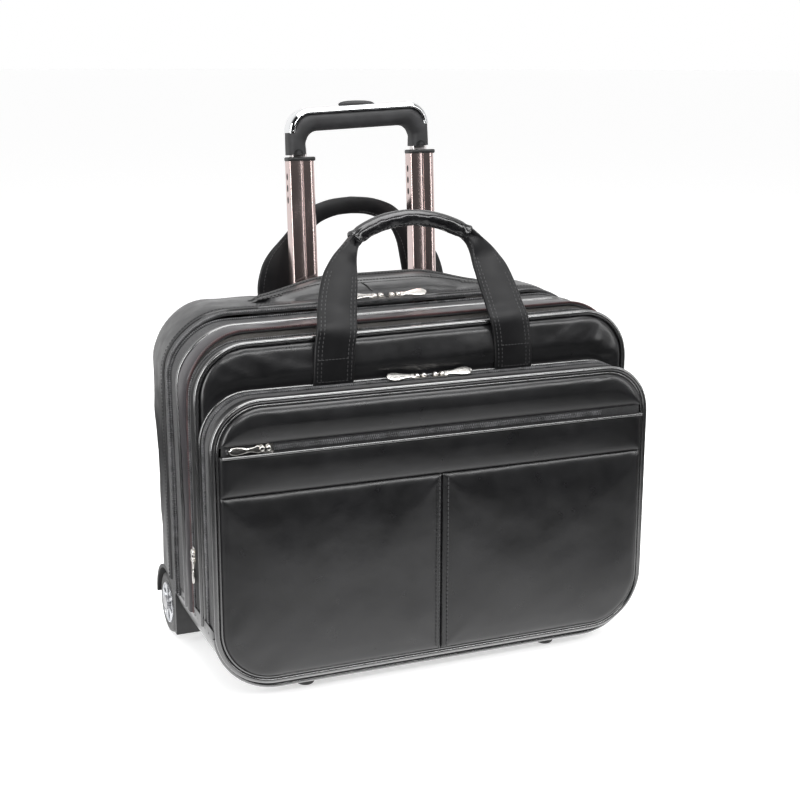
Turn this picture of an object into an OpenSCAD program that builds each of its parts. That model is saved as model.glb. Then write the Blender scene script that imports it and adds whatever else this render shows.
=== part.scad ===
// Rolling laptop case: a leather case in four zipped layers on a trolley frame.
// Millimetres. X across the case, Y from front to back, Z up from the floor.
// The origin is on the floor, under the middle of the whole object.

/* [Case] */
// Width across the rear section
rear_w = 429; // [420:1:436]
// Width across the middle band
mid_w = 424; // [420:1:428]
// Width across the front compartment
front_w = 422; // [418:1:424]
// Width across the front pocket
pocket_w = 420; // [412:1:420]
// Height of the rear section's top
rear_top = 330; // [326:1:336]
// Height of the middle band's top
mid_top = 324; // [321:1:326]
// Height of the front compartment's top
front_top = 316; // [312:1:320]
// Height of the front pocket's top
pocket_top = 273; // [260:1:278]
// Height of the bottom panel above the floor
ground_gap = 12; // [10:1:13]
// Height of the pocket's lowest edge above the floor
lid_bottom = 19; // [18:1:22]
// Radius of the rear section's top corners
top_r = 58; // [50:1:64]
// Radius of the front compartment's top corners
front_top_r = 46; // [40:1:58]
// Radius of the bottom corners
bottom_r = 52; // [46:1:56]
// Thickness of a leather wall with its lining
wall_t = 3; // [2:0.5:4]
// Diameter of the leather piping
piping_d = 5; // [4:0.5:6]
// Height at which the zips end on the sides
zip_end = 61; // [58:1:80]

/* [Layers] */
// Depth of the pocket lid, from its face to the pocket zip
pocket_lid_d = 27; // [24:1:32]
// Distance from the pocket face to the front compartment's face
front_face_at = 41; // [38:1:44]
// Distance from the pocket face to the middle zip
middle_zip_at = 64; // [60:1:70]
// Distance from the pocket face to the main zip
main_zip_at = 130; // [124:1:136]
// Distance from the pocket face to the rear leather band
rear_band_at = 146; // [142:1:150]
// Distance from the pocket face to the foot of the back panel
back_at = 192; // [188:1:198]
// Distance from the pocket face to the middle of the overall depth
middle_at = 110.4; // [100:0.1:120]
// Backward lean of the back panel and the trolley, in degrees
lean = 4.2; // [3:0.1:6]

/* [Pocket face] */
// Thickness of the padded face panels
face_t = 4; // [3:0.5:5]
// Height of the seam under the band
band_seam = 192; // [184:1:200]
// Height of the lower edge of the face zip
face_zip_low = 228.3; // [218:0.1:232]
// Height of the gap that the face zip closes
face_zip_gap = 9; // [9:0.5:12]

/* [Trolley] */
// Distance between the tubes' centres
tube_pitch = 124.6; // [110:0.2:136]
// Width of a middle tube
tube_w = 27; // [24:0.5:30]
// Depth of a middle tube
tube_d = 17; // [15:0.5:20]
// Wall of every tube
tube_t = 1.2; // [1:0.1:1.5]
// Width of an inner tube
inner_w = 15; // [13:0.5:18]
// Depth of an inner tube
inner_d = 10; // [9:0.5:11]
// Length of an outer tube
outer_len = 267; // [250:1:275]
// Length of a middle tube
middle_len = 262; // [240:1:270]
// Length of an inner tube
inner_len = 254; // [220:1:260]
// Distance along the tubes from the bottom panel to the collars' top
collar_at = 447; // [430:1:460]
// Width of the grip
grip_w = 146; // [136:1:160]
// Height of the grip
grip_h = 43; // [38:1:50]
// Depth of the grip
grip_d = 23; // [20:1:24]

/* [Wheels and feet] */
// Diameter of a wheel
wheel_d = 62; // [56:1:64]
// Width of a wheel
wheel_w = 24; // [18:1:25]
// Diameter of the hub
hub_d = 40; // [34:1:44]
// Diameter of an axle
axle_d = 8; // [6:0.5:10]
// Radial running clearance of the hub on its axle
axle_fit = 0.05; // [0.02:0.01:0.1]
// Diameter of a front foot
foot_d = 17; // [14:1:22]
// Distance of a front foot from the middle
foot_x = 122.7; // [90:0.1:150]

/* [Carry handles] */
// Width of the front handle's straps at their foot
strap_w = 36; // [28:1:40]
// Height of the front handle's arch, with the handle upright
front_arch = 427; // [400:1:440]
// Lean of the front handle towards the back, in degrees
handle_lean = 22; // [0:1:24]
// Height of the rear handle's arch
rear_arch = 418; // [400:1:440]
// Thickness of a strap
strap_t = 3.5; // [3:0.5:5]

/* [Zip sliders] */
// Length of a slider along the zip
slider_l = 15; // [12:1:18]
// Width of a slider across the zip
slider_w = 8; // [7:0.5:8.5]
// Length of a large pull
pull_l = 30; // [24:1:34]
// Width of a large pull
pull_w = 11; // [8:0.5:12]

/* [Hidden] */
$fn = 48;

leather = "#1c1c1e";
leather_light = "#2c2c30";
tape_grey = "#3a3a3e";
plastic = "#151515";
board_grey = "#4a4a4a";
tube_metal = "#8f7f7c";
chrome = "#c9ccd0";
nickel = "#d8d8d8";
lining = "#77706a";

// Far enough to reach past the whole object
far = 700;
// Straight pieces that stand for one rounded corner
corner_steps = 8;
// Room between bodies that move apart
play = 0.6;
// Half of the piping, and the outline that is left inside it
pipe_r = piping_d / 2;
inside_pipe = pipe_r + 0.2;

// Stations along Y
front_y = -middle_at;
pocket_zip_y = front_y + pocket_lid_d;
front_face_y = front_y + front_face_at;
front_pipe_y = front_face_y + pipe_r;
middle_zip_y = front_y + middle_zip_at;
main_zip_y = front_y + main_zip_at;
rear_band_y = front_y + rear_band_at;
back_y = front_y + back_at;

// Widths of the zip tapes and the leather bands between them, and how far the tapes sink
pocket_strip_d = 13;
front_rim_d = 17;
middle_tape_d = 5;
mid_band_end = main_zip_y - 33;
mid_pipe_end = mid_band_end + piping_d;
tape_t = 1.5;
tape_sink = 0.5;
side_tape_sink = 2;
main_tape_sink = 1;
panel_t = 3;
partition_t = 2;
partition_in = 3.7;
pan_front_y = front_y + 4;
seam_gap = 0.3;
face_back_y = front_y - 2;
face_tape_t = 1.2;
face_tape_in = 4;

// Outlines as [half width, bottom, top, top radius, bottom radius]
pocket_o = [pocket_w / 2, lid_bottom, pocket_top, front_top_r - 3, bottom_r];
front_o = [front_w / 2, lid_bottom, front_top, front_top_r, bottom_r];
mid_o = [mid_w / 2, lid_bottom, mid_top, (top_r + front_top_r) / 2, bottom_r];
rear_o = [rear_w / 2, ground_gap, rear_top, top_r + 2, bottom_r + 4];
pan_o = [mid_w / 2, ground_gap, rear_top, top_r, bottom_r + 6];
back_o = [rear_w / 2, 0, (rear_top - ground_gap) / cos(lean), top_r + 2, bottom_r + 4];

// Places in the leaned frame: v is depth forward of the back panel, s is height along the lean
back_t = 3;
tube_v = -30;
tube_play = 0.4;
tube_r = 4;
inner_r = 3;
outer_w = tube_w + 2 * (tube_t + tube_play);
outer_d = tube_d + 2 * (tube_t + tube_play);
outer_s = 6;
board_t = 2.8;
board_v = tube_v - grip_d / 2 - board_t - 1;
board_top_s = 300;
board_in = 3.5;
bezel_s = outer_s + outer_len - 8;
bezel_w = 200;
bezel_t = 3;
well_w = 244;
well_v = board_v + board_t;
sleeve_d = 34;
sleeve_w = 376;
sleeve_h = 262;
sleeve_t = 4;
sleeve_s = 12;
sleeve_v = board_v - 4.6;
bracket_s = 14;
bracket_h = 26;
bracket_end = 26;
bracket_gap = 24;
bracket_t = 3;

// Collars, grip and release mechanism, along the lean
collar_t = 3.5;
lock_slots = 3;
slot_h = 7;
slot_w = 4;
slot_pitch = 11;
slot_drop = 22;
grip_s = collar_at + 6;
grip_top_s = grip_s + grip_h;
grip_leg = 21;
grip_bar_h = 23;
grip_r = 22;
grip_inner_r = 12;
cover_t = 5;
cover_low_s = grip_s + 22;
rail_h = 4;
rail_s = grip_top_s - cover_t - rail_h - 8;
rail_w = 7;
button_l = 36;
button_w = 14;
button_top_s = grip_top_s + 4.5;
button_travel = 4;
rod_r = 2;
rod_foot = 8;
rail_l = tube_pitch + 2 * rod_r + 0.4;
channel_l = grip_w - 16;
socket_h = 15;
inner_s = grip_s + socket_h - inner_len;

// Wheels
wheel_r = wheel_d / 2;
wheel_y = front_y + 187;
wheel_out_x = 209;
wheel_in_x = wheel_out_x - wheel_w;
housing_in_x = wheel_in_x - 5;
housing_t = 3;
housing_out_x = wheel_out_x + 1.5;
housing_r = wheel_r + 7;
housing_gap = 3.5;
housing_top = wheel_r + housing_r;
housing_front_y = rear_band_y + 1.3;
axle_cap_r = 7;
axle_cap_t = 2;
hub_holes = 6;
hub_hole_r = 4;
hub_hole_at = 13;
tyre_round = 3;

// Feet
foot_y = front_y + 24;
foot_flat_r = 6;
screw_r = 2;
screw_head_r = 4;
screw_head_h = 2;
screw_tip_z = 5;
base_z = ground_gap + wall_t;
base_w = 306;
base_lip_h = 10;
foot_round = 3;

// Carry handles
strap_x = 89;
strap_foot_z = 276;
strap_end_z = 311;
front_pivot_z = 316;
strap_front_y = front_face_y - 0.2;
wrap_x = 54;
wrap_t = 15;
wrap_drop = 16;
wrap_d = 14;
rear_strap_v = 1.5;
rear_strap_x = 75;
rear_strap_w = 40;
rear_band_h = 20;
rear_pivot_s = 318;
strap_gap = 1.5;
strap_lift = 2.5;
strap_y = strap_front_y - strap_lift - strap_t / 2;
wrap_r = (wrap_x * wrap_x + wrap_drop * wrap_drop) / (2 * wrap_drop);
wrap_half_angle = asin(wrap_x / wrap_r);
wrap_centre_z = front_arch - wrap_t / 2 - wrap_r;
// Heights up the front strap, and how far its outer and inner edges stand from the strap's middle
strap_waist_z = 350;
strap_waist_out = 11;
strap_waist_in = 23;
strap_bend_z = 384;
strap_bend_out = 2;
strap_bend_in_z = 376;
strap_bend_in = 28;
strap_neck_z = 407;
strap_neck_out = 20;
strap_neck_in_z = 396;
strap_neck_in = 38;
strap_tip_z = 411;
strap_tip_in = 34;
// Outer and inner radius of the rear strap's shoulders, and how far they turn
rear_out_r = 52;
rear_in_r = 36;
rear_out_at = 62;
rear_in_at = 74;
shoulder_a = 20;

// Arched lip in front of the trolley well
lip_w = 250;
lip_rise = 14;
lip_front_y = rear_band_y + 4;
lip_back_y = rear_band_y + 26;
lip_slope = 3;

// Sliders and pulls
plate_t = 1.6;
window_h = 1.5;
crown_t = 0.9;
crown_w = 2.4;
post_l = 1.6;
crown_l = 10;
eye_r = 0.55;
pull_t = 1.1;
arm_w = 1.6;
lift = 1.1;
slider_x = 9;
middle_slider_z = 121;
face_slider_x = 165;
thin_pull_w = 6;
middle_pull_l = 24;
split_gap = 0.8;
eye_x = crown_l / 2 - post_l - eye_r - 0.4;
eye_z = plate_t + window_h / 2;
arm_y = crown_w / 2 + 0.6;
arm_l = 7;
shoulder_l = 12;
shoulder_in = 1.5;
middle_lift = 0.6;
face_lift = 0.3;

// ---------- outlines ----------

// Points of an arc from angle a0 to a1
function arc_pts(cx, cz, r, a0, a1) = [
  for (i = [0 : corner_steps]) let (a = a0 + (a1 - a0) * i / corner_steps)
    [cx + r * cos(a), cz + r * sin(a)]
];

// Rounded outline o, grown by g
function loop_pts(o, g) = concat(
  arc_pts(o[0] - o[3], o[2] - o[3], o[3] + g, 0, 90),
  arc_pts(-o[0] + o[3], o[2] - o[3], o[3] + g, 90, 180),
  arc_pts(-o[0] + o[4], o[1] + o[4], o[4] + g, 180, 270),
  arc_pts(o[0] - o[4], o[1] + o[4], o[4] + g, 270, 360)
);

// Rounded rectangle of width w, depth d and corner radius r, about the origin
function rect_pts(w, d, r) = concat(
  arc_pts(w / 2 - r, d / 2 - r, r, 0, 90),
  arc_pts(-w / 2 + r, d / 2 - r, r, 90, 180),
  arc_pts(-w / 2 + r, -d / 2 + r, r, 180, 270),
  arc_pts(w / 2 - r, -d / 2 + r, r, 270, 360)
);

module loop(o, g) polygon(loop_pts(o, g));

module loop_ring(o, outer, inner) {
  difference() {
    loop(o, outer);
    loop(o, inner);
  }
}

// Keeps what lies above height z in an outline
module above(z) {
  intersection() {
    children();
    translate([-far, z]) square([2 * far, far]);
  }
}

// Keeps what lies between heights z0 and z1 in an outline
module between(z0, z1) {
  intersection() {
    children();
    translate([-far, z0]) square([2 * far, z1 - z0]);
  }
}

// Stands an X-Z outline up and gives it depth from y0 to y1
module along_y(y0, y1) translate([0, y1, 0]) rotate([90, 0, 0]) linear_extrude(y1 - y0) children();

// Band of wall that runs up one side, over the top and down the other
module arch_band(o, y0, y1, outer, inner) along_y(y0, y1) above(zip_end + play) loop_ring(o, outer, inner);

// Frame that leans back with the back panel
module leaned() translate([0, back_y, ground_gap]) rotate([-lean, 0, 0]) children();

// Frame of one tube, with its Z axis along the tube
module at_tube(side) leaned() translate([side * tube_pitch / 2, tube_v, 0]) children();

// Box from corner a to corner b
module box(a, b) translate(a) cube(b - a);

// Both sides of the case
module both_sides() {
  children();
  mirror([1, 0, 0]) children();
}

// ---------- case, fixed ----------

// Space that is left free for the wheels and their housings
module wheel_space() {
  both_sides()
    box([housing_in_x - 0.3, rear_band_y + 1, -1], [far, far, housing_top + 1]);
}

// Moulded base and back in one, which the trolley is fixed to
module frame_board() {
  color(board_grey) difference() {
    union() {
      box([-base_w / 2, pan_front_y + 4, base_z], [base_w / 2, back_y - 40, base_z + panel_t]);
      box(
        [-base_w / 2, back_y + board_v - 1, base_z],
        [base_w / 2, back_y + board_v + board_t, base_z + base_lip_h]
      );
      leaned() along_y(board_v, board_v + board_t) between(0, board_top_s) loop(back_o, -wall_t - board_in);
    }
    wheel_space();
    foot_holes(screw_r + 0.2);
  }
}

module foot_holes(r) {
  both_sides() translate([foot_x, foot_y, 0]) cylinder(h = 4 * ground_gap, r = r);
}

// Leather bottom with its turned-up sides, under the three lids
module bottom_panel() {
  color(leather) difference() {
    along_y(pan_front_y, rear_band_y) between(0, zip_end) loop_ring(pan_o, 0, -wall_t);
    foot_holes(screw_r + 0.2);
  }
}

module rear_gusset() {
  color(leather) difference() {
    along_y(rear_band_y, back_y + 60) loop_ring(rear_o, 0, -wall_t);
    leaned() box([-far, -back_t, -far], [far, far, far]);
    leaned() box([-well_w / 2, well_v, board_top_s], [well_w / 2, 0, far]);
    wheel_space();
  }
}

module back_panel() {
  color(leather) difference() {
    leaned() along_y(-back_t, 0) loop(back_o, 0);
    wheel_space();
  }
}

// Points of the lip's low arch: flat ends, raised middle
function lip_pts() = [
  for (i = [-corner_steps : corner_steps]) let (x = i * lip_w / 2 / corner_steps)
    [x, rear_top + 0.1 + lip_rise * (1 + cos(180 * i / corner_steps)) / 2]
];

// Arched leather lip in front of the trolley well
module handle_lip() {
  color(leather_light) intersection() {
    along_y(lip_front_y, lip_back_y)
      polygon(concat([[-lip_w / 2, rear_top]], lip_pts(), [[lip_w / 2, rear_top]]));
    translate([-lip_w, 0, 0]) rotate([90, 0, 90]) linear_extrude(2 * lip_w)
      polygon([
        [lip_front_y, rear_top],
        [lip_back_y, rear_top],
        [lip_back_y, rear_top + lip_rise],
        [lip_back_y - lip_slope, rear_top + lip_rise]
      ]);
  }
}

// Tube with its outer size, wall and length, from s upwards
module tube(w, d, t, s, len) {
  translate([0, 0, s]) linear_extrude(len) difference() {
    polygon(rect_pts(w, d, tube_r));
    polygon(rect_pts(w - 2 * t, d - 2 * t, tube_r - t));
  }
}

module outer_tubes() {
  color(plastic) for (side = [-1, 1]) at_tube(side) tube(outer_w, outer_d, tube_t, outer_s, outer_len);
}

// Room for both outer tubes through a plate at height s of thickness t
module outer_tube_holes(s, t) {
  for (side = [-1, 1]) at_tube(side) translate([0, 0, s - 1]) linear_extrude(t + 2)
    polygon(rect_pts(outer_w + 0.2, outer_d + 0.2, tube_r));
}

// Floor of the trolley well, with a hole for each tube
module tube_bezel() {
  color(plastic) difference() {
    leaned() box([-bezel_w / 2, well_v + 0.2, bezel_s], [bezel_w / 2, -back_t - 0.2, bezel_s + bezel_t]);
    outer_tube_holes(bezel_s, bezel_t);
  }
}

// Clamp that holds the feet of the tubes to the frame board
module tube_bracket() {
  color(board_grey) difference() {
    leaned() box(
      [-tube_pitch / 2 - bracket_end, well_v, bracket_s],
      [tube_pitch / 2 + bracket_end, tube_v + outer_d / 2 + bracket_t, bracket_s + bracket_h]
    );
    outer_tube_holes(bracket_s, bracket_h);
    leaned() box(
      [-tube_pitch / 2 + bracket_gap, well_v - 1, bracket_s - 1],
      [tube_pitch / 2 - bracket_gap, far, bracket_s + bracket_h + 1]
    );
  }
}

// Padded sleeve, open at the top
module laptop_sleeve() {
  color(lining) leaned() difference() {
    box([-sleeve_w / 2, sleeve_v - sleeve_d, sleeve_s], [sleeve_w / 2, sleeve_v, sleeve_s + sleeve_h]);
    box(
      [-sleeve_w / 2 + sleeve_t, sleeve_v - sleeve_d + sleeve_t, sleeve_s + sleeve_t],
      [sleeve_w / 2 - sleeve_t, sleeve_v - sleeve_t, far]
    );
  }
}

// Side view of a wheel housing, with the wheel's opening cut out when hollow
module housing_2d(hollow) {
  difference() {
    intersection() {
      union() {
        translate([wheel_y, wheel_r]) circle(r = housing_r);
        translate([housing_front_y, ground_gap])
          square([wheel_y - housing_front_y, housing_top - ground_gap]);
      }
      translate([-far, ground_gap]) square([2 * far, far]);
      translate([housing_front_y, 0]) square([far, far]);
    }
    if (hollow) {
      translate([wheel_y, wheel_r]) circle(r = wheel_r + housing_gap);
      translate([wheel_y - wheel_r - housing_gap, 0]) square([far, wheel_r]);
    }
  }
}

module wheel_housing() {
  color(plastic) difference() {
    union() {
      translate([housing_in_x, 0, 0]) rotate([90, 0, 90]) linear_extrude(housing_t) housing_2d(false);
      translate([housing_in_x + housing_t, 0, 0]) rotate([90, 0, 90])
        linear_extrude(housing_out_x - housing_in_x - housing_t) housing_2d(true);
    }
    translate([housing_in_x - 1, wheel_y, wheel_r]) rotate([0, 90, 0])
      cylinder(h = housing_t + 2, r = axle_d / 2 + 0.1);
  }
}

module wheel_housing_left() mirror([1, 0, 0]) wheel_housing();

module wheel_housing_right() wheel_housing();

module wheel_axles() {
  color(nickel) both_sides() translate([0, wheel_y, wheel_r]) rotate([0, 90, 0]) union() {
    translate([0, 0, housing_in_x]) cylinder(h = wheel_out_x + 1 - housing_in_x, r = axle_d / 2);
    translate([0, 0, wheel_out_x + 0.5]) cylinder(h = axle_cap_t, r = axle_cap_r);
  }
}

// Rubber foot with a flat sole and a rounded edge
module front_feet() {
  color(plastic) both_sides() translate([foot_x, foot_y, 0]) difference() {
    rotate_extrude() polygon(concat(
      [[0, 0], [foot_flat_r, 0]],
      [for (a = [15 : 15 : 90])
        [foot_flat_r + (foot_d / 2 - foot_flat_r) * sin(a), foot_round * (1 - cos(a))]],
      [[foot_d / 2, ground_gap], [0, ground_gap]]
    ));
    translate([0, 0, screw_tip_z - 0.5]) cylinder(h = far, r = screw_r);
  }
}

module foot_screws() {
  color(nickel) both_sides() translate([foot_x, foot_y, 0]) union() {
    translate([0, 0, screw_tip_z]) cylinder(h = base_z + panel_t - screw_tip_z, r = screw_r);
    translate([0, 0, base_z + panel_t]) cylinder(h = screw_head_h, r = screw_head_r);
  }
}

module main_zip_tape_rear() {
  color(tape_grey)
    arch_band(rear_o, main_zip_y + play / 2, rear_band_y, -main_tape_sink, -main_tape_sink - tape_t);
}

// ---------- middle section ----------

module mid_gusset() color(leather) arch_band(mid_o, middle_zip_y + middle_tape_d, mid_band_end, 0, -wall_t);

module mid_piping() color(leather_light) arch_band(mid_o, mid_band_end, mid_pipe_end, pipe_r, -pipe_r);

module main_zip_tape_front() {
  color(tape_grey) arch_band(mid_o, mid_pipe_end, main_zip_y - play / 2, -tape_sink, -tape_sink - tape_t);
}

module mid_partition() {
  color(lining) along_y(middle_zip_y + 2, middle_zip_y + 2 + partition_t) loop(mid_o, -partition_in);
}

module middle_zip_tape_rear() {
  color(tape_grey) arch_band(
    mid_o,
    middle_zip_y + play / 2,
    middle_zip_y + middle_tape_d,
    -side_tape_sink,
    -side_tape_sink - tape_t
  );
}

// ---------- front compartment ----------

module front_gusset() {
  color(leather) arch_band(front_o, front_pipe_y + pipe_r, front_face_y + front_rim_d, 0, -wall_t);
}

module front_face() color(leather) along_y(front_face_y, front_face_y + panel_t) loop(front_o, -inside_pipe);

module front_piping() {
  color(leather_light) arch_band(front_o, front_pipe_y - pipe_r, front_pipe_y + pipe_r, pipe_r, -pipe_r);
}

module middle_zip_tape_front() {
  color(tape_grey) arch_band(
    front_o,
    front_face_y + front_rim_d,
    middle_zip_y - play / 2,
    -side_tape_sink,
    -side_tape_sink - tape_t
  );
}

module pocket_zip_tape_rear() {
  color(tape_grey)
    arch_band(pocket_o, pocket_zip_y + play / 2, front_face_y, -tape_sink, -tape_sink - tape_t);
}

// Sewn-down ends of the front handle's straps
module front_handle_ends() {
  color(leather_light) both_sides()
    box(
      [strap_x - strap_w / 2, strap_front_y - strap_t, strap_foot_z],
      [strap_x + strap_w / 2, front_face_y, strap_end_z]
    );
}

// ---------- pocket lid ----------

module pocket_piping() {
  color(leather_light) along_y(front_y - pipe_r, front_y + pipe_r) loop_ring(pocket_o, pipe_r, -pipe_r);
}

module pocket_gusset() {
  color(leather) arch_band(pocket_o, front_y + pipe_r, front_y + pocket_strip_d, 0, -wall_t);
}

module pocket_zip_tape_front() {
  color(tape_grey)
    arch_band(pocket_o, front_y + pocket_strip_d, pocket_zip_y - play / 2, -tape_sink, -tape_sink - tape_t);
}

// Part of the pocket's face between two heights and two widths
module face_part(z0, z1, x0, x1) {
  color(leather) along_y(face_back_y - face_t, face_back_y) intersection() {
    loop(pocket_o, -inside_pipe);
    translate([x0, z0]) square([x1 - x0, z1 - z0]);
  }
}

module face_upper() face_part(face_zip_low + face_zip_gap, far, -far, far);

module face_band() face_part(band_seam + seam_gap, face_zip_low, -far, far);

module face_lower_left() face_part(0, band_seam, -far, -seam_gap / 2);

module face_lower_right() face_part(0, band_seam, seam_gap / 2, far);

module face_zip_tape() {
  color(tape_grey) along_y(face_back_y, face_back_y + face_tape_t)
    between(face_zip_low - face_tape_in, face_zip_low + face_zip_gap + face_tape_in)
      loop(pocket_o, -inside_pipe - 1);
}

// ---------- trolley ----------

// Tubes with a row of lock slots in their left sides
module middle_tubes() {
  color(tube_metal) for (side = [-1, 1]) at_tube(side) difference() {
    tube(tube_w, tube_d, tube_t, collar_at - collar_t - middle_len, middle_len);
    for (i = [0 : lock_slots - 1])
      translate([-tube_w, -slot_w / 2, collar_at - slot_drop - slot_pitch * i])
        cube([tube_w, slot_w, slot_h]);
  }
}

module tube_collars() {
  color(plastic) for (side = [-1, 1])
    at_tube(side) translate([0, 0, collar_at - collar_t]) linear_extrude(collar_t) difference() {
      polygon(rect_pts(tube_w + 1, tube_d + 1, tube_r));
      polygon(rect_pts(inner_w + 0.8, inner_d + 0.8, inner_r));
    }
}

module inner_tubes() color(tube_metal) for (side = [-1, 1]) at_tube(side) difference() {
  translate([0, 0, inner_s]) linear_extrude(inner_len) polygon(rect_pts(inner_w, inner_d, inner_r));
  translate([0, 0, inner_s - 1]) linear_extrude(inner_len + 2)
    polygon(rect_pts(inner_w - 2 * tube_t, inner_d - 2 * tube_t, inner_r - tube_t));
}

// Upside-down U outline of the grip, grown inwards by g from its outer edge
module grip_2d(g) {
  w = grip_w / 2 - g;
  r = grip_r - g;
  ix = grip_w / 2 - grip_leg;
  iz = grip_top_s - grip_bar_h;
  polygon(concat(
    [[w, grip_s]],
    arc_pts(w - r, grip_top_s - g - r, r, 0, 90),
    arc_pts(-w + r, grip_top_s - g - r, r, 90, 180),
    [[-w, grip_s], [-ix, grip_s]],
    arc_pts(-ix + grip_inner_r, iz - grip_inner_r, grip_inner_r, 180, 90),
    arc_pts(ix - grip_inner_r, iz - grip_inner_r, grip_inner_r, 90, 0),
    [[ix, grip_s]]
  ));
}

// Chrome strip over the top and shoulders of the grip
module cover_2d() above(cover_low_s) difference() {
  grip_2d(0);
  grip_2d(cover_t);
}

module in_grip(d) leaned() translate([0, tube_v, 0]) along_y(-d / 2, d / 2) children();

// Stadium of length l and width w
module stadium(l, w) union() {
  square([l - w, w], center = true);
  for (e = [-1, 1]) translate([e * (l - w) / 2, 0]) circle(d = w);
}

module grip_core() {
  color(plastic) difference() {
    in_grip(grip_d) difference() {
      grip_2d(0);
      cover_2d();
    }
    leaned() translate([0, tube_v, 0]) union() {
      box(
        [-channel_l / 2, -rail_w / 2 - 1, rail_s - button_travel - 0.5],
        [channel_l / 2, rail_w / 2 + 1, grip_top_s - cover_t]
      );
      translate([0, 0, rail_s]) linear_extrude(far) stadium(button_l + 1, button_w + 1);
    }
    for (side = [-1, 1]) at_tube(side) union() {
      translate([0, 0, grip_s - 1]) linear_extrude(socket_h + 1.05)
        polygon(rect_pts(inner_w + 0.05, inner_d + 0.05, inner_r));
      cylinder(h = rail_s, r = rod_r + 0.8);
    }
  }
}

module grip_cover() {
  color(chrome) difference() {
    in_grip(grip_d) cover_2d();
    leaned() translate([0, tube_v, rail_s]) linear_extrude(far) stadium(button_l + 1, button_w + 1);
  }
}

module release_button() {
  color(plastic) leaned() translate([0, tube_v, rail_s + rail_h])
    linear_extrude(button_top_s - rail_s - rail_h) stadium(button_l, button_w);
}

// Rail under the button with a rod down each inner tube
module release_rods() {
  color(nickel) union() {
    leaned() translate([0, tube_v, 0])
      box([-rail_l / 2, -rail_w / 2, rail_s], [rail_l / 2, rail_w / 2, rail_s + rail_h]);
    for (side = [-1, 1]) at_tube(side)
      translate([0, 0, inner_s + rod_foot]) cylinder(h = rail_s + 0.5 - inner_s - rod_foot, r = rod_r);
  }
}

// ---------- wheels ----------

// Frame of one wheel, with its Z axis along the axle
module at_wheel(side) {
  translate([side * (wheel_in_x + wheel_w / 2), wheel_y, wheel_r]) rotate([0, 90, 0]) children();
}

module tyre(side) color(plastic) at_wheel(side) rotate_extrude($fn = 96) {
  h = wheel_w / 2;
  polygon([
    [hub_d / 2, -h],
    [wheel_r - tyre_round, -h],
    [wheel_r, -h + tyre_round],
    [wheel_r, h - tyre_round],
    [wheel_r - tyre_round, h],
    [hub_d / 2, h]
  ]);
}

module hub(side) color(chrome) at_wheel(side) difference() {
  cylinder(h = wheel_w - 1, r = hub_d / 2, center = true);
  cylinder(h = 2 * wheel_w, r = axle_d / 2 + axle_fit, center = true);
  for (i = [1 : hub_holes]) rotate([0, 0, i * 360 / hub_holes]) translate([hub_hole_at, 0, 0])
    cylinder(h = 2 * wheel_w, r = hub_hole_r, center = true);
}

module tyre_left() tyre(-1);

module tyre_right() tyre(1);

module hub_left() hub(-1);

module hub_right() hub(1);

// ---------- carry handles ----------

// Band along an arc about (0, cz), from angle -a to a off the vertical
module arc_band(cz, r, t, a) {
  polygon(concat(
    arc_pts(0, cz, r + t / 2, 90 - a, 90 + a),
    arc_pts(0, cz, r - t / 2, 90 + a, 90 - a)
  ));
}

module front_strap_2d() {
  polygon([
    [strap_x - strap_w / 2, front_pivot_z + strap_gap],
    [strap_x + strap_w / 2, front_pivot_z + strap_gap],
    [strap_x + strap_waist_out, strap_waist_z],
    [strap_x - strap_bend_out, strap_bend_z],
    [strap_x - strap_neck_out, strap_neck_z],
    [strap_x - strap_tip_in, strap_tip_z],
    [strap_x - strap_neck_in, strap_neck_in_z],
    [strap_x - strap_bend_in, strap_bend_in_z],
    [strap_x - strap_waist_in, strap_waist_z]
  ]);
}

// Turns the front handle about its straps' fold, from upright to its resting lean
module handle_leaned() {
  translate([0, strap_y, front_pivot_z]) rotate([-handle_lean, 0, 0])
    translate([0, -strap_y, -front_pivot_z]) children();
}

module front_handle() {
  color(leather) handle_leaned() both_sides()
    along_y(strap_y - strap_t / 2, strap_y + strap_t / 2) difference() {
      front_strap_2d();
      arc_band(wrap_centre_z, wrap_r, wrap_t, wrap_half_angle);
    }
}

module front_handle_wrap() {
  color(leather_light) handle_leaned() along_y(strap_y - wrap_d / 2, strap_y + wrap_d / 2)
    arc_band(wrap_centre_z, wrap_r, wrap_t, wrap_half_angle);
}

module rear_strap_2d() {
  top = (rear_arch - ground_gap) / cos(lean);
  w = rear_strap_x + rear_strap_w / 2;
  polygon(concat(
    [[w, rear_pivot_s + strap_gap]],
    arc_pts(w - rear_out_at, top - rear_out_r, rear_out_r, shoulder_a, 90),
    arc_pts(-w + rear_out_at, top - rear_out_r, rear_out_r, 90, 180 - shoulder_a),
    [[-w, rear_pivot_s + strap_gap], [-w + rear_strap_w, rear_pivot_s + strap_gap]],
    arc_pts(-w + rear_in_at, top - rear_band_h - rear_in_r, rear_in_r, 180 - shoulder_a, 90),
    arc_pts(w - rear_in_at, top - rear_band_h - rear_in_r, rear_in_r, 90, shoulder_a),
    [[w - rear_strap_w, rear_pivot_s + strap_gap]]
  ));
}

module rear_handle() color(leather) leaned() along_y(rear_strap_v, rear_strap_v + strap_t) rear_strap_2d();

// ---------- zip sliders ----------

// Slider with the zip along X and its crown up, its sole at the origin
module slider_body() {
  color(nickel) union() {
    box([-slider_l / 2, -slider_w / 2, 0], [slider_l / 2, slider_w / 2, plate_t]);
    for (e = [-1, 1]) translate([e * (crown_l - post_l) / 2, 0, plate_t])
      translate([-post_l / 2, -crown_w / 2, 0]) cube([post_l, crown_w, window_h]);
    translate([0, 0, plate_t + window_h]) linear_extrude(crown_t) square([crown_l, crown_w], center = true);
  }
}

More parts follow.
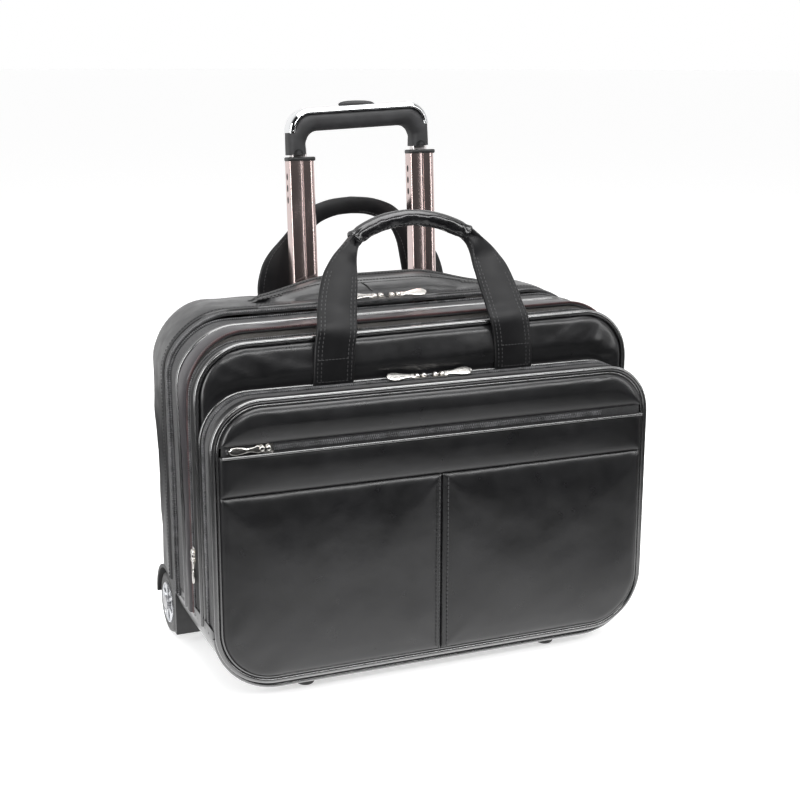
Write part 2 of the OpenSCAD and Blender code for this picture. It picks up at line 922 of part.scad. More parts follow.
// Leg under one half of the sole, which rides on the fixed side of the zip
module slider_foot(h, side) {
  foot_w = slider_w / 2 - split_gap;
  translate([-slider_l / 2, side > 0 ? split_gap : -slider_w / 2, -h]) cube([slider_l, foot_w, h]);
}

// Pull that lies along +X, with its eye through the crown
module pull_body(l, w) {
  color(nickel) translate([eye_x, 0, eye_z]) union() {
    rotate([90, 0, 0]) cylinder(h = 2 * (arm_y + arm_w), r = eye_r, center = true, $fn = 24);
    for (e = [-1, 1]) translate([0, e * (arm_y + arm_w / 2), 0])
      translate([0, -arm_w / 2, -pull_t / 2]) cube([arm_l + 1, arm_w, pull_t]);
    translate([0, 0, -pull_t / 2]) linear_extrude(pull_t) polygon(concat(
      [[arm_l, -arm_y - arm_w], [shoulder_l, -w / 2 + shoulder_in]],
      arc_pts(l - w / 2, 0, w / 2, -90, 90),
      [[shoulder_l, w / 2 - shoulder_in], [arm_l, arm_y + arm_w]]
    ));
  }
}

// Pocket zip: on the pocket's top, held by the front compartment
module at_pocket_slider(side) {
  translate([side * slider_x, pocket_zip_y, pocket_top - tape_sink + lift]) children();
}

module outward(side) if (side > 0) children(); else mirror([1, 0, 0]) children();

module pocket_slider(side) color(nickel) at_pocket_slider(side) union() {
  slider_body();
  slider_foot(lift - 0.1, 1);
}

module pocket_slider_left() pocket_slider(-1);

module pocket_slider_right() pocket_slider(1);

module pocket_pull_left() at_pocket_slider(-1) outward(-1) pull_body(pull_l, pull_w);

module pocket_pull_right() at_pocket_slider(1) outward(1) pull_body(pull_l, pull_w);

// Main zip: on the rear section's top
module at_main_slider(side) {
  translate([side * slider_x, main_zip_y, rear_top - main_tape_sink + lift]) children();
}

module main_slider(side) color(nickel) at_main_slider(side) union() {
  slider_body();
  slider_foot(lift - 0.1, 1);
}

module main_slider_left() main_slider(-1);

module main_slider_right() main_slider(1);

module main_pull_left() at_main_slider(-1) outward(-1) pull_body(pull_l, pull_w);

module main_pull_right() at_main_slider(1) outward(1) pull_body(pull_l, pull_w);

// Middle zip: low on the left side, its pull hanging down
module at_middle_slider() {
  translate([-mid_w / 2 + side_tape_sink - middle_lift, middle_zip_y, middle_slider_z])
    rotate([0, 90, 180]) children();
}

module middle_slider() color(nickel) at_middle_slider() union() {
  slider_body();
  slider_foot(middle_lift - 0.1, -1);
}

module middle_pull() at_middle_slider() pull_body(middle_pull_l, thin_pull_w + 1);

// Face zip: in the gap of the pocket's face, its pull lying to the left
module at_face_slider() {
  translate([-face_slider_x, face_back_y - face_lift, face_zip_low + face_zip_gap / 2])
    rotate([-90, 0, 180]) children();
}

module face_slider() color(nickel) at_face_slider() slider_body();

module face_pull() at_face_slider() pull_body(pull_l, thin_pull_w);

frame_board();
bottom_panel();
rear_gusset();
back_panel();
handle_lip();
tube_bezel();
outer_tubes();
tube_bracket();
wheel_housing_left();
wheel_housing_right();
wheel_axles();
front_feet();
foot_screws();
main_zip_tape_rear();
laptop_sleeve();
mid_gusset();
mid_piping();
main_zip_tape_front();
mid_partition();
middle_zip_tape_rear();
front_gusset();
front_face();
front_piping();
middle_zip_tape_front();
pocket_zip_tape_rear();
front_handle_ends();
pocket_piping();
pocket_gusset();
pocket_zip_tape_front();
face_upper();
face_band();
face_lower_left();
face_lower_right();
face_zip_tape();
middle_tubes();
tube_collars();
inner_tubes();
grip_core();
grip_cover();
release_button();
release_rods();
tyre_left();
hub_left();
tyre_right();
hub_right();
front_handle();
front_handle_wrap();
rear_handle();
pocket_slider_left();
pocket_pull_left();
pocket_slider_right();
pocket_pull_right();
main_slider_left();
main_pull_left();
main_slider_right();
main_pull_right();
middle_slider();
middle_pull();
face_slider();
face_pull();
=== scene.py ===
# Rolling laptop case: the looks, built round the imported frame. Metres, row frame.
import math

import bmesh
import bpy
from mathutils import Matrix, Vector, noise


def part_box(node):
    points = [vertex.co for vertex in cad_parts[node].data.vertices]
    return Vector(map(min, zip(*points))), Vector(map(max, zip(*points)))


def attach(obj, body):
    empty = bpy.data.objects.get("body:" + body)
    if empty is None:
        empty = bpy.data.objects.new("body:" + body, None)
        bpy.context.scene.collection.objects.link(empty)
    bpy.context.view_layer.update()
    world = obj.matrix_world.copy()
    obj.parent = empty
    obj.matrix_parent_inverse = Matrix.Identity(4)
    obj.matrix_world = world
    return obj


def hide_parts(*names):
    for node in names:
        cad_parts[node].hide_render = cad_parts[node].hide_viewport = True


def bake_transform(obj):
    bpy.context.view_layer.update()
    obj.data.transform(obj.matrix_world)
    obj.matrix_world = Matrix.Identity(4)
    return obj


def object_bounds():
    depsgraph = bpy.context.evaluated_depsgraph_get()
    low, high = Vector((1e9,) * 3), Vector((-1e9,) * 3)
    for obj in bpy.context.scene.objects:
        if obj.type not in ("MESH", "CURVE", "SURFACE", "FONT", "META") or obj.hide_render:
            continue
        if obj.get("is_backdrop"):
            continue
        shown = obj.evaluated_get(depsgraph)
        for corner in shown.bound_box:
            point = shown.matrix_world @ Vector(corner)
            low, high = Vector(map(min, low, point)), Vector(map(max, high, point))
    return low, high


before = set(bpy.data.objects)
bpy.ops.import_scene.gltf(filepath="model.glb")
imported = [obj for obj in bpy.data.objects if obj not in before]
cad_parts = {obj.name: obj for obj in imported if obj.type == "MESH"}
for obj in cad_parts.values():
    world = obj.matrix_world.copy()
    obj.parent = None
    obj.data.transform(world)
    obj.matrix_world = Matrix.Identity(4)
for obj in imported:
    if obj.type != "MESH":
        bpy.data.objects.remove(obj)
cad_low, cad_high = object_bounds()

mm = 0.001
ACROSS, BACK, UP = Vector((1, 0, 0)), Vector((0, 1, 0)), Vector((0, 0, 1))
SIDES = ((-1, "left"), (1, "right"))

# ---------------------------------------------------------------- places from the frame

pipe_r = 2.5 * mm  # radius of the piping round each lid


def corners(node):
    """Low and high corner of a CAD node's box."""
    low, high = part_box(node)
    return Vector(low), Vector(high)


def ease(t):
    """Smooth step from 0 to 1."""
    t = min(max(t, 0.0), 1.0)
    return t * t * (3 - 2 * t)


class Outline:
    """Rounded outline in the X-Z plane, grown from a CAD node's box: hw is its half width, z0 and z1 its
    bottom and top, rt and rb its corner radii, and skew how far its soft top leans to one side."""

    def __init__(self, node, grow, top_r, bottom_r, bottom=None, skew=0.0):
        low, high = corners(node)
        self.hw = high.x + grow
        self.z1 = high.z + grow
        self.z0 = low.z - grow if bottom is None else bottom
        self.rt = top_r
        self.rb = bottom_r
        self.skew = skew

    def sag(self, x, z):
        """How far the soft top stands higher on the right than on the left."""
        return self.skew * x * ease((z - 0.15) / 0.15)

    def inside(self, x, z):
        """Distance from (x, z) to the outline, positive inside."""
        mid = (self.z0 + self.z1) / 2
        r = self.rt if z > mid else self.rb
        qx = abs(x) - (self.hw - r)
        qz = (z - (self.z1 - r)) if z > mid else ((self.z0 + r) - z)
        return r - math.hypot(max(qx, 0), max(qz, 0)) - min(max(qx, qz), 0)

    def half_width(self, z, inset):
        """Half width of the outline at height z, moved in by inset."""
        if z > self.z1 - self.rt:
            r = self.rt - inset
            dz = min(z - (self.z1 - self.rt), r)
            return self.hw - self.rt + math.sqrt(max(r * r - dz * dz, 0))
        if z < self.z0 + self.rb:
            r = self.rb - inset
            dz = min(self.z0 + self.rb - z, r)
            return self.hw - self.rb + math.sqrt(max(r * r - dz * dz, 0))
        return self.hw - inset

    def path(self, z_end=None, step=6 * mm, turn=6):
        """Stations (x, z, outward x, outward z, length) clockwise from the lower left side.
        With z_end the path is open and stops at that height on both sides."""
        pts = []

        def line(x0, za, x1, zb, nx, nz):
            n = max(1, round(math.hypot(x1 - x0, zb - za) / step))
            for i in range(n):
                t = i / n
                pts.append((x0 + (x1 - x0) * t, za + (zb - za) * t, nx, nz))

        def corner(cx, cz, r, a0, a1):
            n = max(2, round(abs(a1 - a0) / turn))
            for i in range(n):
                a = math.radians(a0 + (a1 - a0) * i / n)
                pts.append((cx + r * math.cos(a), cz + r * math.sin(a), math.cos(a), math.sin(a)))

        hw, z0, z1, rt, rb = self.hw, self.z0, self.z1, self.rt, self.rb
        low = z0 + rb if z_end is None else z_end
        line(-hw, low, -hw, z1 - rt, -1, 0)
        corner(-hw + rt, z1 - rt, rt, 180, 90)
        line(-hw + rt, z1, hw - rt, z1, 0, 1)
        corner(hw - rt, z1 - rt, rt, 90, 0)
        line(hw, z1 - rt, hw, low, 1, 0)
        if z_end is None:
            corner(hw - rb, z0 + rb, rb, 0, -90)
            line(hw - rb, z0, -hw + rb, z0, 0, -1)
            corner(-hw + rb, z0 + rb, rb, -90, -180)
        else:
            pts.append((hw, low, 1, 0))
        return self.measured(pts)

    def low_path(self, z_end, step=6 * mm, turn=6):
        """Open path round the bottom, from z_end on the right side to z_end on the left."""
        hw, z0, rb = self.hw, self.z0, self.rb
        has_sides = z_end > z0 + rb + step / 4
        pts = [(hw, z_end, 1, 0)] if has_sides else []

        def corner(cx, a0, a1):
            n = round(abs(a1 - a0) / turn)
            for i in range(n + 1):
                a = math.radians(a0 + (a1 - a0) * i / n)
                pts.append((cx + rb * math.cos(a), z0 + rb + rb * math.sin(a), math.cos(a), math.sin(a)))

        corner(hw - rb, 0, -90)
        n = round(2 * (hw - rb) / step)
        for i in range(1, n):
            pts.append((hw - rb - 2 * (hw - rb) * i / n, z0, 0, -1))
        corner(-hw + rb, -90, -180)
        if has_sides:
            pts.append((-hw, z_end, -1, 0))
        return self.measured(pts)

    def measured(self, pts):
        """Adds the sag to every station, and the length run so far."""
        out, run, last = [], 0.0, None
        for x, z, nx, nz in pts:
            z += self.sag(x, z)
            if last is not None:
                run += math.hypot(x - last[0], z - last[1])
            last = (x, z)
            out.append((x, z, nx, nz, run))
        return out


pocket_low, pocket_high = corners("pocket_piping")
face_y = (pocket_low.y + pocket_high.y) / 2
zip_end = corners("pocket_gusset")[0].z
pocket = Outline("pocket_piping", -pipe_r, 43 * mm, 52 * mm)
front = Outline("front_piping", -pipe_r, 46 * mm, 52 * mm, pocket.z0, 0.016)
mid = Outline("mid_piping", -pipe_r, 52 * mm, 52 * mm, pocket.z0, 0.012)
rear = Outline("rear_gusset", 0, 60 * mm, 56 * mm, None, 0.009)
pan = Outline("bottom_panel", 0, 58 * mm, 58 * mm)
pan.z1 = rear.z1

front_y = corners("front_face")[0].y
zip3_y = (corners("pocket_zip_tape_front")[1].y + corners("pocket_zip_tape_rear")[0].y) / 2
zip2_y = (corners("middle_zip_tape_front")[1].y + corners("middle_zip_tape_rear")[0].y) / 2
zip1_y = (corners("main_zip_tape_front")[1].y + corners("main_zip_tape_rear")[0].y) / 2
band_y1 = corners("mid_gusset")[1].y
rear_y0 = corners("rear_gusset")[0].y
back_low = corners("back_panel")[0]
lean = math.radians(4.2)  # of the back panel and the trolley
tilt = math.tan(lean)


def back_at(z):
    """Y of the back panel's outer face at height z."""
    return back_low.y + 3 * mm + (z - back_low.z) * tilt


def mix(a, b, t):
    return a + (b - a) * t


# ---------------------------------------------------------------- materials

def new_material(name):
    m = bpy.data.materials.new(name)
    m.use_nodes = True
    return m, m.node_tree, m.node_tree.nodes["Principled BSDF"]


def add(tree, kind, **values):
    """New node. Each value goes to the input of its name, or else to the node's own setting."""
    node = tree.nodes.new(kind)
    for key, value in values.items():
        if key in node.inputs:
            node.inputs[key].default_value = value
        else:
            setattr(node, key, value)
    return node


def object_coords(tree):
    return add(tree, "ShaderNodeTexCoord").outputs["Object"]


def noise_from(tree, coords, scale, detail=3.0):
    n = add(tree, "ShaderNodeTexNoise", Scale=scale, Detail=detail)
    tree.links.new(coords, n.inputs["Vector"])
    return n.outputs["Fac"]


def ranged(tree, value, low, high, start=0.3, stop=0.7):
    """Maps value from start..stop to low..high."""
    span = {"From Min": start, "From Max": stop, "To Min": low, "To Max": high}
    node = add(tree, "ShaderNodeMapRange", **span)
    tree.links.new(value, node.inputs["Value"])
    return node.outputs["Result"]


def tinted(tree, value, dark, light, start=0.3, stop=0.7):
    """Colour between dark and light as value goes from start to stop."""
    ramp = add(tree, "ShaderNodeValToRGB")
    ramp.color_ramp.elements[0].position = start
    ramp.color_ramp.elements[1].position = stop
    ramp.color_ramp.elements[0].color = (*dark, 1)
    ramp.color_ramp.elements[1].color = (*light, 1)
    tree.links.new(value, ramp.inputs["Fac"])
    return ramp.outputs["Color"]


def bump(tree, height, distance, strength, normal=None):
    b = add(tree, "ShaderNodeBump", Strength=strength, Distance=distance)
    tree.links.new(height, b.inputs["Height"])
    if normal is not None:
        tree.links.new(normal, b.inputs["Normal"])
    return b.outputs["Normal"]


def leather(name, dark, light, rough_low, rough_high, coat, wave, specular=0.6, coat_ior=1.5):
    """Smooth finished leather: soft mottling, fine pores and a slow unevenness."""
    m, tree, shader = new_material(name)
    at = object_coords(tree)
    cloud = noise_from(tree, at, 26, 4)
    pores = add(tree, "ShaderNodeTexVoronoi", Scale=1300)
    tree.links.new(at, pores.inputs["Vector"])
    tree.links.new(tinted(tree, cloud, dark, light), shader.inputs["Base Color"])
    grain = noise_from(tree, at, 70, 5)
    tree.links.new(ranged(tree, grain, rough_low, rough_high), shader.inputs["Roughness"])
    slow = bump(tree, noise_from(tree, at, 34, 2), wave, 1.0)
    tree.links.new(bump(tree, pores.outputs["Distance"], 0.000025, 0.35, slow), shader.inputs["Normal"])
    shader.inputs["Specular IOR Level"].default_value = specular
    shader.inputs["Coat Weight"].default_value = coat
    shader.inputs["Coat Roughness"].default_value = 0.22
    shader.inputs["Coat IOR"].default_value = coat_ior
    return m


def woven(name, dark, light, pitch, rough, depth):
    """Plain weave along the piece's own length and width."""
    m, tree, shader = new_material(name)
    uv = add(tree, "ShaderNodeUVMap", uv_map="UVMap").outputs["UV"]
    brick = add(tree, "ShaderNodeTexBrick", offset=0.5, **{
        "Scale": 1.0, "Brick Width": pitch * 2, "Row Height": pitch,
        "Mortar Size": pitch * 0.18, "Mortar Smooth": 1.0, "Mortar": (*dark, 1),
        "Color1": (*light, 1), "Color2": (*[c * 0.8 for c in light], 1)})
    tree.links.new(uv, brick.inputs["Vector"])
    fuzz = noise_from(tree, object_coords(tree), 900, 4)
    blend = add(tree, "ShaderNodeMix", data_type="RGBA", blend_type="MULTIPLY")
    blend.inputs["Factor"].default_value = 0.5
    tree.links.new(brick.outputs["Color"], blend.inputs["A"])
    tree.links.new(tinted(tree, fuzz, (0.5, 0.5, 0.5), (1.3, 1.3, 1.3)), blend.inputs["B"])
    tree.links.new(blend.outputs["Result"], shader.inputs["Base Color"])
    shader.inputs["Roughness"].default_value = rough
    shader.inputs["Sheen Weight"].default_value = 0.15
    tree.links.new(bump(tree, brick.outputs["Fac"], -depth, 0.8), shader.inputs["Normal"])
    return m


def metal(name, dark, light, rough_low, rough_high, scale=60):
    m, tree, shader = new_material(name)
    at = object_coords(tree)
    cloud = noise_from(tree, at, scale, 4)
    tree.links.new(tinted(tree, cloud, dark, light), shader.inputs["Base Color"])
    grain = noise_from(tree, at, scale * 3, 3)
    tree.links.new(ranged(tree, grain, rough_low, rough_high), shader.inputs["Roughness"])
    shader.inputs["Metallic"].default_value = 1.0
    return m


def moulded(name, dark, light, rough_low, rough_high, grain, depth):
    m, tree, shader = new_material(name)
    at = object_coords(tree)
    tree.links.new(tinted(tree, noise_from(tree, at, 90, 3), dark, light), shader.inputs["Base Color"])
    fine = noise_from(tree, at, grain, 3)
    tree.links.new(ranged(tree, fine, rough_low, rough_high), shader.inputs["Roughness"])
    tree.links.new(bump(tree, fine, depth, 0.6), shader.inputs["Normal"])
    return m


def thread(name, dark, light):
    m, tree, shader = new_material(name)
    at = object_coords(tree)
    tree.links.new(tinted(tree, noise_from(tree, at, 2500, 2), dark, light), shader.inputs["Base Color"])
    shader.inputs["Roughness"].default_value = 0.55
    return m


def grey(value, last=None):
    """Grey as (r, g, b). last is the blue where it differs."""
    return (value, value, value if last is None else last)


# name, dark, light, lowest and highest roughness, and then what the kind of material takes
LEATHER = leather("black_leather", grey(0.005, 0.0055), grey(0.009, 0.010), 0.27, 0.36, 0.2, 0.0006)
SIDE_LEATHER = leather("side_leather", grey(0.009, 0.010), grey(0.017, 0.018), 0.32, 0.46, 0.15, 0.0012)
STRAP_LEATHER = leather("strap_leather", grey(0.004, 0.0045), grey(0.008, 0.009), 0.36, 0.46, 0.0, 0.0008,
                        0.35)
WRAP_LEATHER = leather("wrap_leather", grey(0.004, 0.0045), grey(0.008, 0.009), 0.16, 0.26, 0.4, 0.0006)
PIPING = leather("piping_leather", grey(0.012), grey(0.020, 0.021), 0.12, 0.2, 1.0, 0.0002, 0.9, 2.1)
RIM_LEATHER = leather("rim_leather", grey(0.004, 0.0042), grey(0.007, 0.0075), 0.4, 0.5, 0.0, 0.0004)
BAND_LEATHER = leather("band_leather", (0.016, 0.014, 0.016), (0.030, 0.026, 0.030), 0.34, 0.46, 0.15, 0.0008)
TAPE = woven("zip_tape_weave", grey(0.006, 0.007), grey(0.035, 0.037), 0.7 * mm, 0.8, 0.0002)
LINING = woven("lining_weave", (0.04, 0.037, 0.034), (0.17, 0.16, 0.15), 0.6 * mm, 0.7, 0.0001)
TEETH = moulded("coil_teeth", grey(0.05, 0.052), grey(0.15, 0.155), 0.2, 0.3, 800, 0.00003)
RED_TEETH = moulded("coil_teeth_warm", (0.035, 0.016, 0.017), (0.10, 0.045, 0.045), 0.35, 0.5, 800, 0.00003)
THREAD = thread("black_thread", grey(0.020, 0.021), grey(0.060, 0.062))
LIGHT_THREAD = thread("grey_thread", grey(0.07), grey(0.16))
NICKEL = metal("bright_nickel", (0.62, 0.60, 0.57), (0.82, 0.80, 0.77), 0.12, 0.26, 240)
CHROME = metal("chrome_plate", (0.80, 0.81, 0.82), (0.90, 0.91, 0.92), 0.04, 0.08)
TUBE = metal("warm_gunmetal", (0.65, 0.52, 0.50), (0.68, 0.55, 0.53), 0.235, 0.245, 20)
STUB = metal("stub_chrome", (0.62, 0.58, 0.57), (0.9, 0.86, 0.85), 0.3, 0.42, 160)
STEEL = metal("plated_steel", grey(0.35, 0.36), grey(0.5, 0.51), 0.25, 0.4)
PLASTIC = moulded("black_plastic", grey(0.010), grey(0.020, 0.021), 0.38, 0.5, 1800, 0.00006)
GRIP_BLACK = moulded("grip_soft_black", grey(0.012, 0.013), grey(0.022, 0.024), 0.5, 0.62, 2200, 0.00008)
# near-black: painted shade for the hollows of the grip's notches and the tubes' lock slots
NOTCH_SHADE = moulded("notch_painted_shade", grey(0.002), grey(0.004), 0.6, 0.7, 1800, 0.00004)
FRAME_GREY = moulded("frame_board", grey(0.03), grey(0.05, 0.052), 0.5, 0.62, 700, 0.0001)
RUBBER = moulded("foot_rubber", grey(0.012), grey(0.022), 0.6, 0.75, 900, 0.0001)
TYRE = moulded("tyre_black", grey(0.010), grey(0.020), 0.35, 0.5, 700, 0.00008)
HUB = metal("hub_silver", (0.55, 0.56, 0.58), (0.70, 0.71, 0.73), 0.22, 0.32)


# ---------------------------------------------------------------- mesh helpers

def finish_mesh(name, bm, material, body, nodes=(), sharp=40, normals=True):
    """Closes a bmesh into a smooth-shaded object that rides on a body and stands for CAD nodes."""
    if normals:
        bmesh.ops.recalc_face_normals(bm, faces=bm.faces)
    mesh = bpy.data.meshes.new(name)
    bm.to_mesh(mesh)
    bm.free()
    for p in mesh.polygons:
        p.use_smooth = True
    mesh.set_sharp_from_angle(angle=math.radians(sharp))
    obj = bpy.data.objects.new(name, mesh)
    bpy.context.scene.collection.objects.link(obj)
    mesh.materials.append(material)
    if body:
        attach(obj, body)
    if nodes:
        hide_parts(*nodes)
    return obj


def loft(name, rings, material, body, nodes=(), loop=False, sharp=40, uv_scale=1.0):
    """Solid through closed rings of points: joined end to end if loop, else capped."""
    bm = bmesh.new()
    uv = bm.loops.layers.uv.new("UVMap")
    grid = [[bm.verts.new(p) for p in ring] for ring in rings]
    n = len(rings[0])
    along = [0.0]
    for a, b in zip(rings, rings[1:] + rings[:1]):
        along.append(along[-1] + (Vector(b[0]) - Vector(a[0])).length)
    around = [0.0]
    first = rings[len(rings) // 2]
    for i in range(n):
        around.append(around[-1] + (Vector(first[(i + 1) % n]) - Vector(first[i])).length)
    stop = len(rings) if loop else len(rings) - 1
    for i in range(stop):
        j = (i + 1) % len(rings)
        for k in range(n):
            m = (k + 1) % n
            face = bm.faces.new((grid[i][k], grid[i][m], grid[j][m], grid[j][k]))
            for lp, (u, v) in zip(face.loops, ((i, k), (i, k + 1), (i + 1, k + 1), (i + 1, k))):
                lp[uv].uv = (along[u] * uv_scale, around[v] * uv_scale)
    if not loop:
        bm.faces.new(list(reversed(grid[0])))
        bm.faces.new(grid[-1])
    return finish_mesh(name, bm, material, body, nodes, sharp)


def wobble(x, y, z, scale, amount):
    """Unevenness at a place, from a noise of the given scale."""
    return noise.noise(Vector((x, y, z)) * scale) * amount


def crowded(t, share):
    """t from 0 to 1, drawn by a share towards the nearer end."""
    return mix(t, 0.5 - 0.5 * math.cos(math.pi * t), share)


def oval(centre, u, v, sides):
    """Ring of points round a centre. u and v are its half axes."""
    turns = [2 * math.pi * k / sides for k in range(sides)]
    return [centre + u * math.cos(a) + v * math.sin(a) for a in turns]


def band(name, path, profile, thick, material, body, nodes=(), loop=False, soft=0.6 * mm, sharp=50):
    """Wall of fabric along a path.
    profile(x, z) gives its outer points (y, n): depth, and height off the outline."""
    rings = []
    for x, z, nx, nz, _ in path:
        outer = profile(x, z)
        ring = []
        for y, n in outer:
            n += wobble(x, y * 1.7, z, 22, soft) + wobble(x, y, z, 60, soft * 0.35)
            ring.append((x + nx * n, y, z + nz * n))
        for y, n in reversed(outer):
            ring.append((x + nx * (n - thick), y, z + nz * (n - thick)))
        rings.append(ring)
    return loft(name, rings, material, body, nodes, loop, sharp)


def piping(name, path, centre, material, body, nodes=(), loop=False, r=pipe_r):
    """Round cord covered in leather along a path. centre(z) gives (y, n)."""
    rings = []
    for x, z, nx, nz, _ in path:
        y, n = centre(z)
        out = Vector((nx, 0, nz))
        uneven = r * (1 + wobble(x, y, z, 90, 0.06))
        rings.append(oval(Vector((x, y, z)) + out * n, out * uneven, BACK * uneven, 10))
    return loft(name, rings, material, body, nodes, loop, 80)


def resample(path, pitch):
    """Stations every pitch along a path: (x, z, nx, nz, run)."""
    out = []
    want = pitch / 2
    for a, b in zip(path, path[1:]):
        seg = b[4] - a[4]
        while seg > 1e-9 and want <= b[4]:
            t = (want - a[4]) / seg
            nx, nz = mix(a[2], b[2], t), mix(a[3], b[3], t)
            k = math.hypot(nx, nz)
            out.append((mix(a[0], b[0], t), mix(a[1], b[1], t), nx / k, nz / k, want))
            want += pitch
    return out


def beads(name, spots, size, material, body, nodes=(), sharp=60):
    """Small rounded blocks, such as zip teeth or stitches. Each spot is (place, along, across)."""
    bm = bmesh.new()
    bm.loops.layers.uv.new("UVMap")
    lx, ly, lz = (s / 2 for s in size)
    for place, along, across in spots:
        along = Vector(along).normalized()
        across = Vector(across).normalized()
        up = along.cross(across)
        rings = []
        for sx, grow in ((-1.0, 0.45), (-0.7, 1.0), (0.7, 1.0), (1.0, 0.45)):
            ring = []
            for sy, sz in ((-1, -1), (1, -1), (1, 1), (-1, 1)):
                p = Vector(place) + along * (lx * sx) + across * (ly * sy * grow) + up * (lz * sz * grow)
                ring.append(bm.verts.new(p))
            rings.append(ring)
        for a, b in zip(rings, rings[1:]):
            for k in range(4):
                bm.faces.new((a[k], a[(k + 1) % 4], b[(k + 1) % 4], b[k]))
        bm.faces.new(list(reversed(rings[0])))
        bm.faces.new(rings[-1])
    return finish_mesh(name, bm, material, body, nodes, sharp)


def stitch_line(spots_of, pitch):
    """Turns a polyline of (place, normal) into stitch spots, a little shorter than their pitch."""
    out = []
    want = pitch / 2
    run = 0.0
    for (p, n), (q, m) in zip(spots_of, spots_of[1:]):
        seg = (Vector(q) - Vector(p)).length
        while seg > 1e-9 and want <= run + seg:
            t = (want - run) / seg
            place = Vector(p).lerp(Vector(q), t)
            along = Vector(q) - Vector(p)
            normal = Vector(n).lerp(Vector(m), t)
            out.append((place, along, along.cross(normal)))
            want += pitch
        run += seg
    return out


def ring_stitches(name, path, centre, body, pitch=3.6 * mm, size=(2.6 * mm, 0.7 * mm, 0.6 * mm)):
    """Stitches along a path, with centre(z) giving (y, n)."""
    line = []
    for x, z, nx, nz, _ in path:
        y, n = centre(z)
        line.append(((x + nx * n, y, z + nz * n), (nx, 0, nz)))
    return beads(name, stitch_line(line, pitch), size, THREAD, body)


def zip_teeth(name, path, centre, side, material, body, phase):
    """One row of coil teeth along a path. side is +1 or -1 for the row behind or in front of the split."""
    pitch = 2.0 * mm
    shift = pitch * 0.5 * phase
    spots = []
    for x, z, nx, nz, _ in resample(path, pitch):
        y, n = centre(z)
        n += 0.5 * mm
        tx, tz = -nz, nx
        place = (x + nx * n + tx * shift, y + side * 1.35 * mm, z + nz * n + tz * shift)
        spots.append((place, (0, 1, 0), (tx, 0, tz)))
    return beads(name, spots, (2.9 * mm, 1.3 * mm, 1.9 * mm), material, body)


# ---------------------------------------------------------------- camera and stage

CAMERA_AT = Vector((-0.5134, face_y - 1.1293, 0.5608))
CAMERA_AZ = math.radians(-22.75)
CAMERA_EL = math.radians(13.7)
CAMERA_ROLL = math.radians(0.11)


def make_camera():
    """Camera solved to the photo: lens, place, direction and a slight roll."""
    data = bpy.data.cameras.new("camera")
    cam = bpy.data.objects.new("camera", data)
    bpy.context.scene.collection.objects.link(cam)
    data.sensor_width = 36
    data.lens = 64.85
    data.clip_start = 0.05
    data.clip_end = 50
    back = Vector((
        math.sin(CAMERA_AZ) * math.cos(CAMERA_EL),
        -math.cos(CAMERA_AZ) * math.cos(CAMERA_EL),
        math.sin(CAMERA_EL),
    ))
    cam.rotation_mode = "QUATERNION"
    roll = Matrix.Rotation(CAMERA_ROLL, 3, "Z").to_quaternion()
    cam.rotation_quaternion = (-back).to_track_quat("-Z", "Y") @ roll
    cam.location = CAMERA_AT
    bpy.context.scene.camera = cam
    bpy.context.scene.view_settings.view_transform = "Standard"


def disc(name, radius, height):
    bm = bmesh.new()
    bmesh.ops.create_circle(bm, cap_ends=True, segments=64, radius=radius)
    bmesh.ops.translate(bm, verts=bm.verts, vec=(0, 0, height))
    mesh = bpy.data.meshes.new(name)
    bm.to_mesh(mesh)
    bm.free()
    obj = bpy.data.objects.new(name, mesh)
    bpy.context.scene.collection.objects.link(obj)
    obj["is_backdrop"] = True
    return obj


def make_floor():
    """White floor, and a soft pool of light on it that only shows as a reflection in the leather."""
    floor = disc("floor", 40, 0)
    m, tree, shader = new_material("pale_floor")
    shader.inputs["Base Color"].default_value = (0.8, 0.8, 0.8, 1)
    shader.inputs["Roughness"].default_value = 0.9
    shader.inputs["Emission Color"].default_value = (1, 1, 1, 1)
    shader.inputs["Emission Strength"].default_value = 0.5
    floor.data.materials.append(m)
    floor.visible_glossy = False
    pool = disc("floor_pool", 1.2, 0.0002)
    m, tree, shader = new_material("floor_pool")
    at = object_coords(tree)
    far = add(tree, "ShaderNodeVectorMath", operation="LENGTH")
    tree.links.new(at, far.inputs[0])
    fade = ranged(tree, far.outputs["Value"], 1.5, 0.0, 0.18, 0.75)
    shader.inputs["Base Color"].default_value = (0, 0, 0, 1)
    shader.inputs["Specular IOR Level"].default_value = 0
    shader.inputs["Emission Color"].default_value = (1, 1, 1, 1)
    tree.links.new(fade, shader.inputs["Emission Strength"])
    pool.data.materials.append(m)
    pool.visible_camera = False
    pool.visible_diffuse = False
    pool.visible_shadow = False
    pool.visible_transmission = False


def area_light(name, at, aim, size, size_y, power):
    data = bpy.data.lights.new(name, "AREA")
    data.shape = "RECTANGLE"
    data.size = size
    data.size_y = size_y
    data.energy = power
    lamp = bpy.data.objects.new(name, data)
    bpy.context.scene.collection.objects.link(lamp)
    lamp.location = at
    lamp.rotation_mode = "QUATERNION"
    lamp.rotation_quaternion = (Vector(aim) - Vector(at)).to_track_quat("-Z", "Y")


